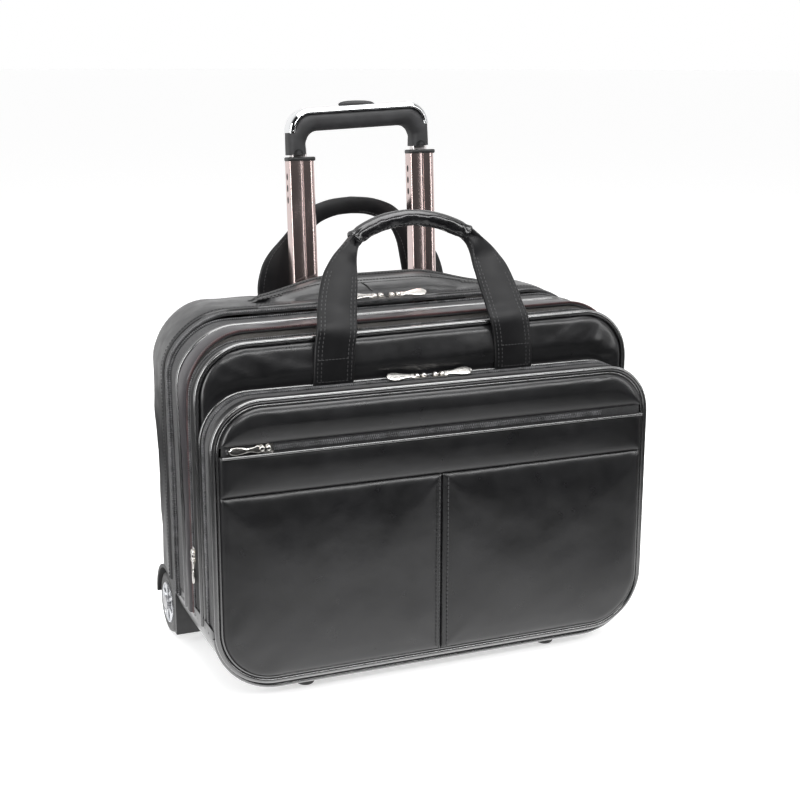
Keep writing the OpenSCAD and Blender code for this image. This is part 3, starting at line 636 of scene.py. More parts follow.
def make_light():
    """Pale world, darker on the side the camera looks from, and five soft lamps."""
    world = bpy.data.worlds.new("studio")
    bpy.context.scene.world = world
    world.use_nodes = True
    tree = world.node_tree
    ground = tree.nodes["Background"]
    coords = add(tree, "ShaderNodeTexCoord").outputs["Generated"]
    split = add(tree, "ShaderNodeSeparateXYZ")
    tree.links.new(coords, split.inputs["Vector"])
    ahead = ranged(tree, split.outputs["Y"], 0, 1, -1, 1)
    tree.links.new(tinted(tree, ahead, (0.02, 0.02, 0.02), (1, 1, 1), 0.30, 0.62), ground.inputs["Color"])
    ground.inputs["Strength"].default_value = 1.0
    area_light("overhead", (0.1, -0.35, 1.9), (0, 0, 0.25), 1.8, 1.1, 30)
    area_light("front_edge", (0.75, -1.75, 1.55), (0, 0, 0.28), 1.5, 0.35, 14)
    area_light("front_high", (-0.55, -1.75, 1.45), (-0.05, -0.05, 0.28), 1.0, 0.3, 9)
    area_light("left_panel", (-1.7, -0.7, 0.75), (0, 0, 0.25), 0.5, 1.5, 18)
    area_light("right_panel", (1.6, -1.0, 0.9), (0, 0, 0.25), 0.35, 1.5, 8)


# ---------------------------------------------------------------- stations that drift down the sides

ZIP2_DRIFT = (308 * mm, 232 * mm)  # heights where the middle zip starts and ends its drift


def drift(z, top, side, start=285 * mm, stop=150 * mm):
    """A station that is at top along the upper run and at side lower down."""
    return mix(top, side, ease((start - z) / (start - stop)))


def y_zip2(z):
    return drift(z, zip2_y, zip2_y + 8 * mm, *ZIP2_DRIFT)


def y_band0(z):
    return y_zip2(z) + 5.3 * mm


def y_band1(z):
    return drift(z, band_y1, band_y1 - 5 * mm)


def y_zip1(z):
    return drift(z, zip1_y, zip1_y - 5 * mm)


def deck_top(z):
    """1 on the flat top of the case, 0 on its sides."""
    return ease((z - (rear.z1 - 45 * mm)) / (40 * mm))


def deck_dip(z):
    """How far the deck sinks towards the main zip."""
    return -3.4 * mm * deck_top(z + 4 * mm)


def y_rear(z):
    return drift(z, rear_y0, rear_y0 - 3 * mm)


def fold(y0, y1, height):
    """Outer points of a soft wall from y0 to y1 that swells to a height between its turned edges."""
    w = y1 - y0
    shape = ((0.0, -1.4 * mm), (0.02, -0.3 * mm), (0.1, 0.55 * height), (0.25, 0.9 * height), (0.5, height),
             (0.75, 0.9 * height), (0.9, 0.55 * height), (0.98, -0.3 * mm), (1.0, -1.4 * mm))
    return [(y0 + w * t, n) for t, n in shape]


def ribs(y0, y1, base, count):
    """Outer points of a dark turned edge with thin raised folds along it."""
    pts = [(y0, base - 1.0 * mm)]
    steps = 6 * count
    for i in range(steps + 1):
        t = i / steps
        ridge = max(0.0, math.cos(2 * math.pi * (t * count - 0.5))) ** 2
        pts.append((mix(y0 + 0.2 * mm, y1 - 0.2 * mm, t), base + 1.2 * mm * ridge))
    pts.append((y1, base - 1.0 * mm))
    return pts


def flat_tape(y0, y1, n0, rib_at=None):
    """Outer points of a zip tape with a slight rib beside the coil."""
    pts = []
    for i in range(7):
        t = i / 6
        n = n0 + 0.25 * mm * math.sin(math.pi * t)
        if rib_at is not None and abs(t - rib_at) < 0.12:
            n += 0.5 * mm
        pts.append((mix(y0, y1, t), n))
    return pts


# ---------------------------------------------------------------- bag walls

def tape_half(name, outline, y_edge, y_split, side, n, body, node, teeth=TEETH, dip=lambda z: 0.0):
    """Tape from its sewn edge to the split, and the row of coil on it."""
    path = outline.path(zip_end)
    gap = 0.35 * mm

    def profile(x, z):
        a, b = y_edge(z), y_split(z) - side * gap
        return flat_tape(min(a, b), max(a, b), n + dip(z))

    tape = band(name, path, profile, 1.1 * mm, TAPE, body, (node,), soft=0.25 * mm)
    zip_teeth(name + "_coil", path, lambda z: (y_split(z), n + dip(z) + 0.45 * mm), -side, teeth, body,
              side)
    return tape


def make_walls():
    """Gussets, pipings and zip tapes of the three lids and of the case behind them."""
    top_path = pocket.path(zip_end)
    # pocket lid
    piping("pocket_face_piping", pocket.path(), lambda z: (face_y, 0), PIPING, "pocket_lid",
           ("pocket_piping",), loop=True)
    strip_end = corners("pocket_gusset")[1].y
    piping("pocket_face_welt", pocket.path(), lambda z: (face_y - 0.9 * mm, -3.9 * mm), PIPING, "pocket_lid",
           loop=True, r=1.3 * mm)
    band("pocket_wall", top_path, lambda x, z: fold(face_y + pipe_r * 0.9, strip_end, 1.2 * mm), 2.5 * mm,
         RIM_LEATHER, "pocket_lid", ("pocket_gusset",))
    ring_stitches("pocket_wall_stitches", top_path, lambda z: (strip_end - 2.6 * mm, 0.75 * mm), "pocket_lid")
    tape_half("pocket_tape_front", pocket, lambda z: strip_end - 1 * mm, lambda z: zip3_y, 1, -0.4 * mm,
              "pocket_lid", "pocket_zip_tape_front")
    # front compartment
    tape_half("pocket_tape_back", pocket, lambda z: front_y - 1 * mm, lambda z: zip3_y, -1, -0.4 * mm,
              "front", "pocket_zip_tape_rear")
    piping("pocket_root_piping", top_path, lambda z: (front_y - 4.0 * mm, 0.2 * mm), PIPING, "front",
           r=1.6 * mm)
    fpath = front.path(zip_end)
    pipe_y = (corners("front_piping")[0].y + corners("front_piping")[1].y) / 2
    piping("front_face_piping", fpath, lambda z: (pipe_y, 0), PIPING, "front",
           ("front_piping",))
    rim_end = corners("front_gusset")[1].y

    def rim(x, z):
        return ribs(pipe_y + pipe_r * 0.9, drift(z, rim_end, rim_end + 8 * mm, *ZIP2_DRIFT), -0.6 * mm, 2)

    band("front_rim", fpath, rim, 2.5 * mm, RIM_LEATHER, "front", ("front_gusset",),
         soft=0.3 * mm)
    tape_half("middle_tape_front", front, lambda z: y_zip2(z) - 6.3 * mm, y_zip2, 1, -1.0 * mm, "front",
              "middle_zip_tape_front")
    # middle section
    mpath = mid.path(zip_end)
    tape_half("middle_tape_back", mid, lambda z: y_zip2(z) + 5.8 * mm, y_zip2, -1, -1.6 * mm, "mid",
              "middle_zip_tape_rear", RED_TEETH)
    low = lambda z: deck_dip(z + 6 * mm)

    def middle(x, z):
        return [(y, n + low(z) * 0.8) for y, n in fold(y_band0(z), y_band1(z), 2.0 * mm)]

    band("middle_wall", mpath, middle, 2.5 * mm, BAND_LEATHER, "mid", ("mid_gusset",),
         soft=1.0 * mm)
    piping("middle_piping", mpath, lambda z: (y_band1(z) + 2.2 * mm, 0.4 * mm + low(z)), PIPING, "mid",
           ("mid_piping",))
    tape_half("main_tape_front", mid, lambda z: y_band1(z) + 4.2 * mm, y_zip1, 1, -0.4 * mm, "mid",
              "main_zip_tape_front", dip=lambda z: low(z) * 0.8)
    # rear section
    tape_half("main_tape_back", rear, lambda z: y_rear(z) + 0.5 * mm, y_zip1, -1, -1.0 * mm, "case",
              "main_zip_tape_rear", dip=deck_dip)
    make_rear_wall()
    make_bottom()


well_half = 122 * mm  # half width of the well that the grip drops into
lip_low, lip_high = corners("handle_lip")
lip_y1 = lip_high.y


def lip_rise(x):
    """How far the deck rises at its rear edge, in front of the trolley."""
    return 15.5 * mm * ease((lip_high.x + 4 * mm - abs(x)) / (88 * mm))


def lip_end(x, width=12 * mm):
    """1 along the lip, falling to 0 over a width at each of its ends."""
    return ease((lip_high.x - abs(x)) / width)


def make_rear_wall():
    """Rear leather band with its rounded rear edge, from one wheel housing over the top to the other."""
    round_r = 9 * mm
    start = corners("wheel_housing_left")[1].z + 2 * mm

    def profile(x, z):
        y0 = y_rear(z)
        y1 = back_at(z)
        on_deck = z > rear.z1 - 1 * mm
        if on_deck:
            y1 = mix(y1, lip_y1, ease((well_half + 1 * mm - abs(x)) / (2 * mm)))
        over_well = lip_end(x) if on_deck else 0.0
        rise = lip_rise(x) * over_well
        low = deck_dip(z)
        side = -1.8 * mm * (1 - deck_top(z))
        pts = [(y0, low - 1.4 * mm), (y0 + 0.4 * mm, low), (y0 + 2.5 * mm, low + 0.9 * mm),
               (y0 + 8 * mm, low * 0.8 + 1.3 * mm + side)]
        for t in (0.15, 0.3, 0.45, 0.6, 0.75, 0.9):
            y = mix(y0 + 8 * mm, y1 - round_r, t)
            fall = mix(0.0, -3.2 * mm, ease(t)) * (1 - over_well) + side + low * 0.8 * (1 - ease(t / 0.7))
            pts.append((y, 1.3 * mm + fall + rise * ease((y - y0) / (y1 - y0))))
        for k in range(7):
            a = math.radians(90 * k / 6)
            # round at the case's own rear edge, and flat where the lip takes over
            y = y1 - round_r + mix(round_r * math.sin(a), round_r * k / 6, over_well)
            n = mix(-1.9 * mm + round_r * (math.cos(a) - 1), 1.3 * mm, over_well)
            pts.append((y, n + side + rise * ease((y - y0) / (y1 - y0))))
        return pts

    over = rear.path(start)
    fine = []
    for a, b in zip(over, over[1:]):
        fine.append(a)
        # extra stations where the wall steps back for the well
        for edge in (-well_half - 1 * mm, -well_half + 1 * mm, well_half - 1 * mm, well_half + 1 * mm):
            if a[3] == 1 and b[3] == 1 and a[0] < edge < b[0]:
                t = (edge - a[0]) / (b[0] - a[0])
                fine.append(tuple(mix(p, q, t) for p, q in zip(a, b)))
    fine.append(over[-1])
    band("rear_wall", fine, profile, 2.5 * mm, SIDE_LEATHER, "case",
         ("rear_gusset",), soft=1.3 * mm)
    ring_stitches("rear_wall_stitches", over, lambda z: (y_rear(z) + 3.2 * mm, 1.4 * mm + deck_dip(z)),
                  "case")


def make_bottom():
    """Leather bottom with its turned-up sides and a piped front edge."""
    inner = corners("wheel_housing_right")[0].x - 0.4 * mm
    under = [p for p in rear.low_path(rear.z0 + rear.rb) if abs(p[0]) < inner]

    def rear_under(x, z):
        y1 = back_at(z) - 3.2 * mm
        flat = [(mix(rear_y0 + 3 * mm, y1, k / 5), 0.4 * mm) for k in range(5)]
        return [(rear_y0 + 0.6 * mm, -1.4 * mm), (rear_y0 + 1.4 * mm, 0), *flat, (y1, -1.0 * mm)]

    band("rear_under", under, rear_under, 2.6 * mm, LEATHER, "case", soft=0.5 * mm)
    y0 = corners("bottom_panel")[0].y
    path = pan.low_path(zip_end - 1.5 * mm)

    def profile(x, z):
        y1 = rear_y0 + 0.4 * mm
        pts = [(y0, -1.4 * mm), (y0 + 0.6 * mm, 0), (y0 + 3 * mm, 0.8 * mm)]
        for t in (0.1, 0.3, 0.5, 0.7, 0.9):
            pts.append((mix(y0, y1, t), 0.9 * mm))
        pts += [(y1 - 1 * mm, 0.2 * mm), (y1, -1.4 * mm)]
        return pts

    band("bottom_pan", path, profile, 2.6 * mm, LEATHER, "case", ("bottom_panel",),
         soft=0.7 * mm)
    piping("bottom_front_piping", path[1:-1], lambda z: (y0 + 0.8 * mm, 0.4 * mm), PIPING, "case",
           r=1.9 * mm)


# ---------------------------------------------------------------- padded faces

PUFF_FRAMES = 20
PUFF_CAP = 1.6 * mm
PUFF_SHARE = 0.4


def puff(obj, held):
    """Inflates a padded panel as cloth held at its edges and back, and keeps a capped part of the
    movement."""
    group = obj.vertex_groups.new(name="held")
    group.add(held, 1.0, "REPLACE")
    cloth = obj.modifiers.new("cloth", "CLOTH")
    setup = cloth.settings
    setup.quality = 4
    setup.mass = 0.25
    setup.tension_stiffness = 12
    setup.compression_stiffness = 12
    setup.shear_stiffness = 4
    setup.bending_stiffness = 0.4
    setup.air_damping = 4
    setup.vertex_group_mass = "held"
    setup.use_pressure = True
    setup.uniform_pressure_force = 4
    setup.effector_weights.gravity = 0
    cloth.collision_settings.use_collision = False
    cloth.point_cache.frame_start = 1
    cloth.point_cache.frame_end = PUFF_FRAMES
    scene = bpy.context.scene
    for frame_now in range(1, PUFF_FRAMES + 1):
        scene.frame_set(frame_now)
    shaped = obj.evaluated_get(bpy.context.evaluated_depsgraph_get())
    moved = [v.co.copy() for v in shaped.data.vertices]
    obj.modifiers.remove(cloth)
    obj.vertex_groups.clear()
    scene.frame_set(1)
    for v, co in zip(obj.data.vertices, moved):
        shift = co - v.co
        if shift.length > PUFF_CAP:
            shift *= PUFF_CAP / shift.length
        v.co += shift * PUFF_SHARE


def close_sheets(bm, uv, front_grid, back_grid):
    """Faces over two grids of vertices and round the rim between them. Returns the rim's vertices."""
    rows, columns = len(front_grid) - 1, len(front_grid[0]) - 1

    def quad(*verts):
        face = bm.faces.new(verts)
        for lp in face.loops:
            lp[uv].uv = (lp.vert.co.x, lp.vert.co.z)

    def rim_of(grid):
        return ([grid[0][c] for c in range(columns)] + [grid[r][columns] for r in range(rows)]
                + [grid[rows][c] for c in range(columns, 0, -1)] + [grid[r][0] for r in range(rows, 0, -1)])

    for r in range(rows):
        for c in range(columns):
            quad(front_grid[r][c], front_grid[r][c + 1], front_grid[r + 1][c + 1], front_grid[r + 1][c])
            quad(back_grid[r][c], back_grid[r + 1][c], back_grid[r + 1][c + 1], back_grid[r][c + 1])
    rim_front, rim_back = rim_of(front_grid), rim_of(back_grid)
    n = len(rim_front)
    for i in range(n):
        quad(rim_front[i], rim_back[i], rim_back[(i + 1) % n], rim_front[(i + 1) % n])
    return rim_front + rim_back


def pad(name, outline, z0, z1, x_range, y_back, height, crown, material, body, nodes, edges, fill,
        columns=56, rows=36, waves=0.5 * mm, slot="leather_black"):
    """Padded panel between two heights of an outline: swollen front, flat back, edges turned in.
    edges(x, z) gives the distance to the panel's nearest edge."""
    bm = bmesh.new()
    uv = bm.loops.layers.uv.new("UVMap")
    sheets = []
    for front_side in (True, False):
        grid = []
        for r in range(rows + 1):
            z = mix(z0, z1, crowded(r / rows, 0.85))
            left, right = x_range(z)
            row = []
            for c in range(columns + 1):
                x = mix(left, right, crowded(c / columns, 0.75))
                d = max(edges(x, z), 0.0)
                y = y_back
                if front_side:
                    turned = min(d / (6 * mm), 1.0)
                    rise = height * math.sqrt(1 - (1 - turned) ** 2)
                    swell = crown * (1 - math.exp(-d / (22 * mm)))
                    ripple = wobble(x, 0.3, z, 16, waves * 2) + wobble(x, 0.7, z, 45, waves * 0.5)
                    y = y_back - 0.2 * mm - rise - swell - ripple * (1 - math.exp(-d / (14 * mm)))
                row.append(bm.verts.new((x, y, z + outline.sag(x, z))))
            grid.append(row)
        sheets.append(grid)
    rim = close_sheets(bm, uv, *sheets)
    bm.verts.index_update()
    held = [v.index for v in rim] + [v.index for row in sheets[1] for v in row]
    obj = finish_mesh(name, bm, material, body, nodes, 60)
    puff(obj, held)
    return obj


def make_face():
    """The pocket's face: upper panel, zip, band and two lower panels."""
    inset = 4.9 * mm
    seam = corners("face_band")[0].z
    slit_low = corners("face_band")[1].z
    slit_high = corners("face_upper")[0].z
    y_back = corners("face_upper")[1].y
    roomy = lambda z: (-pocket.half_width(z, inset), pocket.half_width(z, inset))
    to_outline = lambda x, z: pocket.inside(x, z) - inset

    def face_pad(node, z0, z1, x_range, height, crown, edges, fill, **shape):
        pad(f"{node}_pad", pocket, z0, z1, x_range, y_back, height, crown, LEATHER, "pocket_lid", (node,),
            edges, fill, **shape)

    face_pad("face_upper", slit_high - 1.2 * mm, pocket.z1 - inset, roomy, 3.2 * mm, 5.5 * mm,
             lambda x, z: min(to_outline(x, z), (z - slit_high) * 0.8 + 1.2 * mm), 0.5, waves=0.7 * mm)
    face_pad("face_band", seam, slit_low, roomy, 3.4 * mm, 2.0 * mm,
             lambda x, z: min(to_outline(x, z), z - seam + 0.4 * mm, (slit_low - z) * 2.2 + 0.6 * mm),
             0.4, rows=14)
    left = lambda z: (-pocket.half_width(z, inset), -0.15 * mm)
    right = lambda z: (0.15 * mm, pocket.half_width(z, inset))
    for x_range, word in ((left, "left"), (right, "right")):
        face_pad(f"face_lower_{word}", pocket.z0 + inset, seam - 0.2 * mm, x_range, 3.0 * mm, 4.8 * mm,
                 lambda x, z: min(to_outline(x, z), seam - z, abs(x) * 0.9 + 0.1 * mm), 0.5,
                 columns=40, rows=40, waves=0.8 * mm)
    make_face_seams(seam, slit_low, slit_high, y_back)


def make_face_seams(seam, slit_low, slit_high, y_back):
    """Stitches down the middle of the face, and its zip: folded edge, tape and coil."""
    surface = y_back - 5.6 * mm
    out = (0, -1, 0)
    for sign, word in SIDES:
        x = sign * 4.2 * mm
        line = [((x, surface, mix(seam - 3 * mm, pocket.z0 + 8 * mm, i / 30)), out) for i in range(31)]
        beads(f"centre_stitches_{word}", stitch_line(line, 4 * mm),
              (2.9 * mm, 0.8 * mm, 0.8 * mm), THREAD, "pocket_lid")
    # folded edge under the zip, and the tape behind it
    w = pocket.half_width(slit_high, 5.6 * mm)
    edge = []
    for i in range(61):
        centre = Vector((mix(-w, w, i / 60), y_back - 4.6 * mm, slit_low - 0.6 * mm))
        edge.append(oval(centre, BACK * 1.7 * mm, UP * 1.4 * mm, 8))
    loft("face_zip_edge", edge, PIPING, "pocket_lid", sharp=80)
    tape_low, tape_high = corners("face_zip_tape")
    y0, y1 = tape_low.y - 0.6 * mm, tape_high.y
    z0, z1 = tape_low.z + 1 * mm, tape_high.z - 1 * mm
    rings = []
    for i in range(41):
        x = mix(-w + 1 * mm, w - 1 * mm, i / 40)
        rings.append([(x, y0, z0), (x, y0, z1), (x, y1, z1), (x, y1, z0)])
    loft("face_tape", rings, TAPE, "pocket_lid", ("face_zip_tape",))
    zc = (slit_low + slit_high) / 2 - 0.4 * mm
    spots = []
    for row, dz in ((0, 1.2 * mm), (1, -1.2 * mm)):
        x = -w + 5 * mm + row * 0.9 * mm
        while x < w - 42 * mm:
            spots.append(((x, tape_low.y - 1.0 * mm, zc + dz), (0, 0, 1), (1, 0, 0)))
            x += 1.8 * mm
    beads("face_zip_coil", spots, (2.4 * mm, 1.05 * mm, 1.2 * mm), TEETH, "pocket_lid")


def make_front_face():
    """Puffy face of the front compartment, seen above the pocket."""
    inset = 2.4 * mm
    low, high = corners("front_face")
    roomy = lambda z: (-front.half_width(z, inset), front.half_width(z, inset))

    def edges(x, z):
        if z <= 100 * mm:
            return 0.0
        return min(front.inside(x, z) - inset, max(z - pocket.z1 + 7 * mm, 4 * mm))

    pad("front_face_pad", front, low.z, front.z1 - inset, roomy, high.y, 3.4 * mm, 7.5 * mm, LEATHER, "front",
        ("front_face",), edges, 0.6, columns=80, rows=80, waves=0.8 * mm)


# ---------------------------------------------------------------- the leaned frame

def leaned(x, v, s):
    """Point of the leaned frame, given in mm: v is depth behind the back panel's foot, and s is height
    along the lean."""
    c, t = math.cos(lean), math.sin(lean)
    foot = Vector((0, 81.6, 12))
    return Vector((x, foot.y + v * c + s * t, foot.z - v * t + s * c)) * mm


LEAN_BACK = (leaned(0, 1, 0) - leaned(0, 0, 0)).normalized()
LEAN_UP = (leaned(0, 0, 1) - leaned(0, 0, 0)).normalized()
TUBE_V = -30  # depth of the trolley tubes' centre in the leaned frame, in mm


def rounded(half_u, half_v, r, steps=4):
    """Rounded rectangle as (u, v) points, anticlockwise."""
    pts = []
    for cu, cv, a0 in ((half_u - r, half_v - r, 0), (-half_u + r, half_v - r, 90),
                       (-half_u + r, -half_v + r, 180), (half_u - r, -half_v + r, 270)):
        for i in range(steps + 1):
            a = math.radians(a0 + 90 * i / steps)
            pts.append((cu + r * math.cos(a), cv + r * math.sin(a)))
    return pts


def smooth_line(points, count):
    """Catmull-Rom line through control points (tuples of numbers), resampled to count points."""
    pts = [tuple(p) for p in points]
    pts = [pts[0]] + pts + [pts[-1]]
    out = []
    spans = len(pts) - 3
    for i in range(count):
        t = i / (count - 1) * spans
        k = min(int(t), spans - 1)
        u = t - k
        a, b, c, d = pts[k:k + 4]
        out.append(tuple(
            0.5 * (2 * b[j] + (c[j] - a[j]) * u + (2 * a[j] - 5 * b[j] + 4 * c[j] - d[j]) * u * u
                   + (3 * b[j] - a[j] - 3 * c[j] + d[j]) * u * u * u)
            for j in range(len(b))))
    return out


def strap(name, line, side_of, depth_of, section, material, body, nodes=(), crease=0.4 * mm):
    """Sweep along a line of points. side_of(i) and depth_of(i) are the section's directions,
    section(i) gives its (u, v) outline."""
    rings = []
    for i, p in enumerate(line):
        side, depth = side_of(i), depth_of(i)
        ring = []
        for u, v in section(i):
            q = Vector(p) + side * u + depth * v
            q += depth * (noise.noise(q * 70) * crease)
            ring.append(q)
        rings.append(ring)
    return loft(name, rings, material, body, nodes, sharp=70)


# ---------------------------------------------------------------- front carry handle

handle_ends = corners("front_handle_ends")
strap_y = handle_ends[0].y - 0.75 * mm
HANDLE_LEAN = math.radians(22)
HANDLE_FOOT = Vector((0, strap_y, 316 * mm))
LEAN_TURN = Matrix.Rotation(-HANDLE_LEAN, 3, "X")
# the wrap's middle line is an arc: its drop, half width, and the height of the wrap's top
arc_drop = 16 * mm
arc_half = 54 * mm
arc_top = 427 * mm
wrap_r = 7.5 * mm
arc_r = (arc_half ** 2 + arc_drop ** 2) / (2 * arc_drop)
arc_z = arc_top - wrap_r - arc_r
arc_angle = math.asin(arc_half / arc_r)


def tipped(p):
    """Point of the upright handle, turned back to where the handle leans."""
    if p.z <= HANDLE_FOOT.z:
        return p
    turn = Matrix.Rotation(-HANDLE_LEAN * ease((p.z - HANDLE_FOOT.z) / (30 * mm) + 0.35), 3, "X")
    return HANDLE_FOOT + turn @ (p - HANDLE_FOOT)


def make_front_handle():
    """Two flat straps sewn to the front face, gathered into the wrap at their tops."""
    foot_y = handle_ends[0].y
    foot, flat = foot_y / mm, strap_y / mm
    # x, y, z, width, thickness in mm
    control = (
        (88.6, foot - 1.2, 272, 38, 3.4), (88.2, foot - 2.2, 290, 38, 3.6), (86.6, foot - 1.4, 308, 38, 3.6),
        (83.5, flat - 0.2, 325, 37.5, 3.8), (79.8, flat, 345, 36.5, 4.0), (75.2, flat, 363, 34, 4.4),
        (71.2, flat, 374, 29.5, 5.0), (67.6, flat, 382.5, 24, 6.0), (63.6, flat, 390, 18, 7.6),
        (59.0, flat, 397, 13.5, 9.5), (53.0, flat, 403.5, 12, 10.5), (46, flat, 408.5, 11, 10.0),
        (40, flat, 411, 9, 9.0))
    for sign, word in SIDES:
        line = smooth_line(control, 88)
        places = [tipped(Vector((sign * x, y, z)) * mm) for x, y, z, w, t in line]
        sizes = [(w * mm, t * mm) for x, y, z, w, t in line]
        last = len(places) - 1

        def ahead(i):
            a, b = places[max(i - 1, 0)], places[min(i + 1, last)]
            return (b - a).normalized()

        def facing(i):
            level = ease((places[i].z - 311 * mm) / (25 * mm))
            return Matrix.Rotation(-HANDLE_LEAN * level, 3, "X") @ BACK

        def side(i):
            return ahead(i).cross(facing(i)).normalized()

        def depth(i):
            return side(i).cross(ahead(i)).normalized()

        def twist(i, s):
            """How far the strap's right edge stands behind its left one."""
            return 0.9 * mm * ease((i / last - 0.3) / 0.3) * s * sign

        def section(i):
            w, t = sizes[i]
            pinch = ease((i / last - 0.48) / 0.25)
            pts = []
            for u, v in rounded(w / 2, t / 2, t * 0.46, 3):
                s = u / (w / 2)
                # bound edges stand a little proud, and the strap folds towards the wrap
                v += math.copysign(0.6 * mm * math.exp(-((abs(s) - 0.86) / 0.1) ** 2), v) * (1 - pinch)
                v += pinch * (1 - 0.6 * ease((i / last - 0.82) / 0.1)) * 2.4 * mm * math.cos(s * 4.6 + 0.5)
                v += twist(i, s)
                pts.append((u, v))
            return pts

        body = strap(f"front_strap_{word}", places, side, depth, section, STRAP_LEATHER, None,
                     ("front_handle", "front_handle_ends") if sign < 0 else ())
        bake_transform(body)
        rows = []
        for edge in (-1, 1):
            for inset in (3.0 * mm, 6.4 * mm):
                row = []
                for i in range(2, 66):
                    w, t = sizes[i]
                    across = edge * (w / 2 - inset * (w / (36 * mm)))
                    out = t / 2 + 0.35 * mm - twist(i, across / (w / 2))
                    row.append((places[i] + side(i) * across - depth(i) * out, -depth(i)))
                rows += stitch_line(row, 3.8 * mm)
        for height, off in ((276, 3.6), (296, 4.4)):
            row = [(Vector((sign * mix(75, 103, k / 8), foot - off, height)) * mm, -BACK) for k in range(9)]
            rows += stitch_line(row, 3.2 * mm)
        threads = beads(f"front_strap_stitches_{word}", rows, (2.3 * mm, 0.7 * mm, 0.7 * mm), THREAD, None)
        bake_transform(threads)
    make_wrap()


def make_wrap():
    """Leather wrapped round the top of the handle, creased underneath and drawn in at its ends."""
    rings = []
    count = 110
    seam = []
    back = LEAN_TURN @ BACK
    for i in range(count):
        t = i / (count - 1)
        a = mix(-arc_angle * 1.08, arc_angle * 1.08, t)
        up = Vector((math.sin(a), 0, math.cos(a)))
        centre = HANDLE_FOOT + LEAN_TURN @ (Vector((0, strap_y, arc_z)) + up * arc_r - HANDLE_FOOT)
        out = LEAN_TURN @ up
        near = min(t, 1 - t)
        hem = 1 + 0.07 * math.exp(-((near - 0.02) / 0.012) ** 2)
        hem -= 0.08 * math.exp(-((near - 0.06) / 0.02) ** 2)
        taper = min(1.0, 0.72 + near / 0.012 * 0.28)
        ring = []
        for k in range(36):
            b = 2 * math.pi * k / 36
            c, d = math.cos(b), math.sin(b)
            under = max(0.0, -math.cos(b - 0.5)) ** 1.5
            crease = noise.noise(Vector((t * 13, c * 1.6, d * 1.6))) * (0.14 + 0.75 * under)
            crease += noise.noise(Vector((t * 30 + 3 * d, c * 1.2, 3.1))) * (0.05 + 0.32 * under)
            ru = wrap_r * hem * taper + crease * mm
            rv = 7.0 * mm * hem * taper + crease * mm
            ring.append(centre + out * (c * ru) + back * (d * rv))
        rings.append(ring)
        if 0.03 < t < 0.97:
            b = math.radians(212)
            p = centre + out * (math.cos(b) * 7.6 * mm) + back * (math.sin(b) * 7.0 * mm)
            seam.append((p, (out * math.cos(b) + back * math.sin(b)).normalized()))
    loft("front_wrap", rings, WRAP_LEATHER, "front_carry_handle", ("front_handle_wrap",),
         sharp=80)
    beads("front_wrap_stitches", stitch_line(seam, 4.2 * mm), (3.0 * mm, 0.8 * mm, 0.8 * mm), THREAD,
          "front_carry_handle")


# ---------------------------------------------------------------- rear carry handle

def make_rear_handle():
    """Flat strap that runs up from the back panel, over an arch and down again."""
    v_mid = 3.25
    # x and height of the strap's outer and inner edges in the leaned frame, in mm
    outside = ((95, 262), (97, 280), (99.5, 300), (100.4, 317), (99, 329), (94, 344), (86, 355.5),
               (75, 366.5), (64, 378), (52, 391), (41, 398.5), (22, 404.6), (0, 406.7))
    inside = ((56, 262), (56.5, 280), (57, 300), (56, 317), (54, 330), (51.5, 346), (49.5, 358), (46.5, 367),
              (42, 374.5), (35, 381), (26, 385.5), (14, 388.8), (0, 389.8))
    outer, inner = smooth_line(outside, 60), smooth_line(inside, 60)
    outer += [(-x, s) for x, s in reversed(outer[:-1])]
    inner += [(-x, s) for x, s in reversed(inner[:-1])]
    rings = []
    rows = ([], [])
    for (xo, so), (xi, si) in zip(outer, inner):
        a, b = leaned(xo, v_mid, so), leaned(xi, v_mid, si)
        side = (a - b) / 2
        mid_p = (a + b) / 2
        w = side.length
        low = min(so, si)
        lift = -0.8 * mm * ease((318 - low) / 12)
        ring = []
        for u, v in rounded(w, 2.0 * mm, 1.6 * mm, 3):
            s = u / w
            v += math.copysign(0.45 * mm * math.exp(-((abs(s) - 0.84) / 0.1) ** 2), v)
            p = mid_p + side.normalized() * u + LEAN_BACK * (v + lift)
            p += LEAN_BACK * noise.noise(p * 30) * 1.2 * mm * ease((low - 325) / 40)
            ring.append(p)
        rings.append(ring)
        for row, s in zip(rows, (-0.74, 0.74)):
            row.append((mid_p + side * s - LEAN_BACK * (2.3 * mm - lift), -LEAN_BACK))
    body = loft("rear_strap", rings, STRAP_LEATHER, None, ("rear_handle",), sharp=70)
    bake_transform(body)
    spots = []
    for row in rows:
        spots += stitch_line(row, 3.6 * mm)
        spots += stitch_line([(p + LEAN_BACK * 4.5 * mm, LEAN_BACK) for p, _ in row], 3.6 * mm)
    threads = beads("rear_strap_stitches", spots, (2.6 * mm, 0.7 * mm, 0.7 * mm), THREAD, None)
    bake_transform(threads)


# ---------------------------------------------------------------- grip, tubes and wheels

def soften(node, width, material, segments=3, angle=30):
    """Rounds the edges of a CAD node, smooths its shading and gives it its material."""
    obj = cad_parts[node]
    for p in obj.data.polygons:
        p.use_smooth = True
    obj.data.set_sharp_from_angle(angle=math.radians(angle))
    bevel = obj.modifiers.new("edges", "BEVEL")
    bevel.width = width
    bevel.segments = segments
    bevel.limit_method = "ANGLE"
    bevel.angle_limit = math.radians(angle)
    bevel.harden_normals = True
    obj.data.materials.clear()
    obj.data.materials.append(material)
    return obj


def grip_line(half, r, low, top, steps=10):
    """Outline of an upside-down U from its right foot to its left foot, (x, s) in mm."""
    pts = [(half, mix(low, top - r, i / 8)) for i in range(8)]
    turns = [math.radians(90 * i / steps) for i in range(steps + 1)]
    pts += [(half - r + r * math.cos(a), top - r + r * math.sin(a)) for a in turns]
    pts += [(mix(half - r, 0, i / 6), top) for i in range(1, 7)]
    return pts + [(-x, s) for x, s in reversed(pts[:-1])]


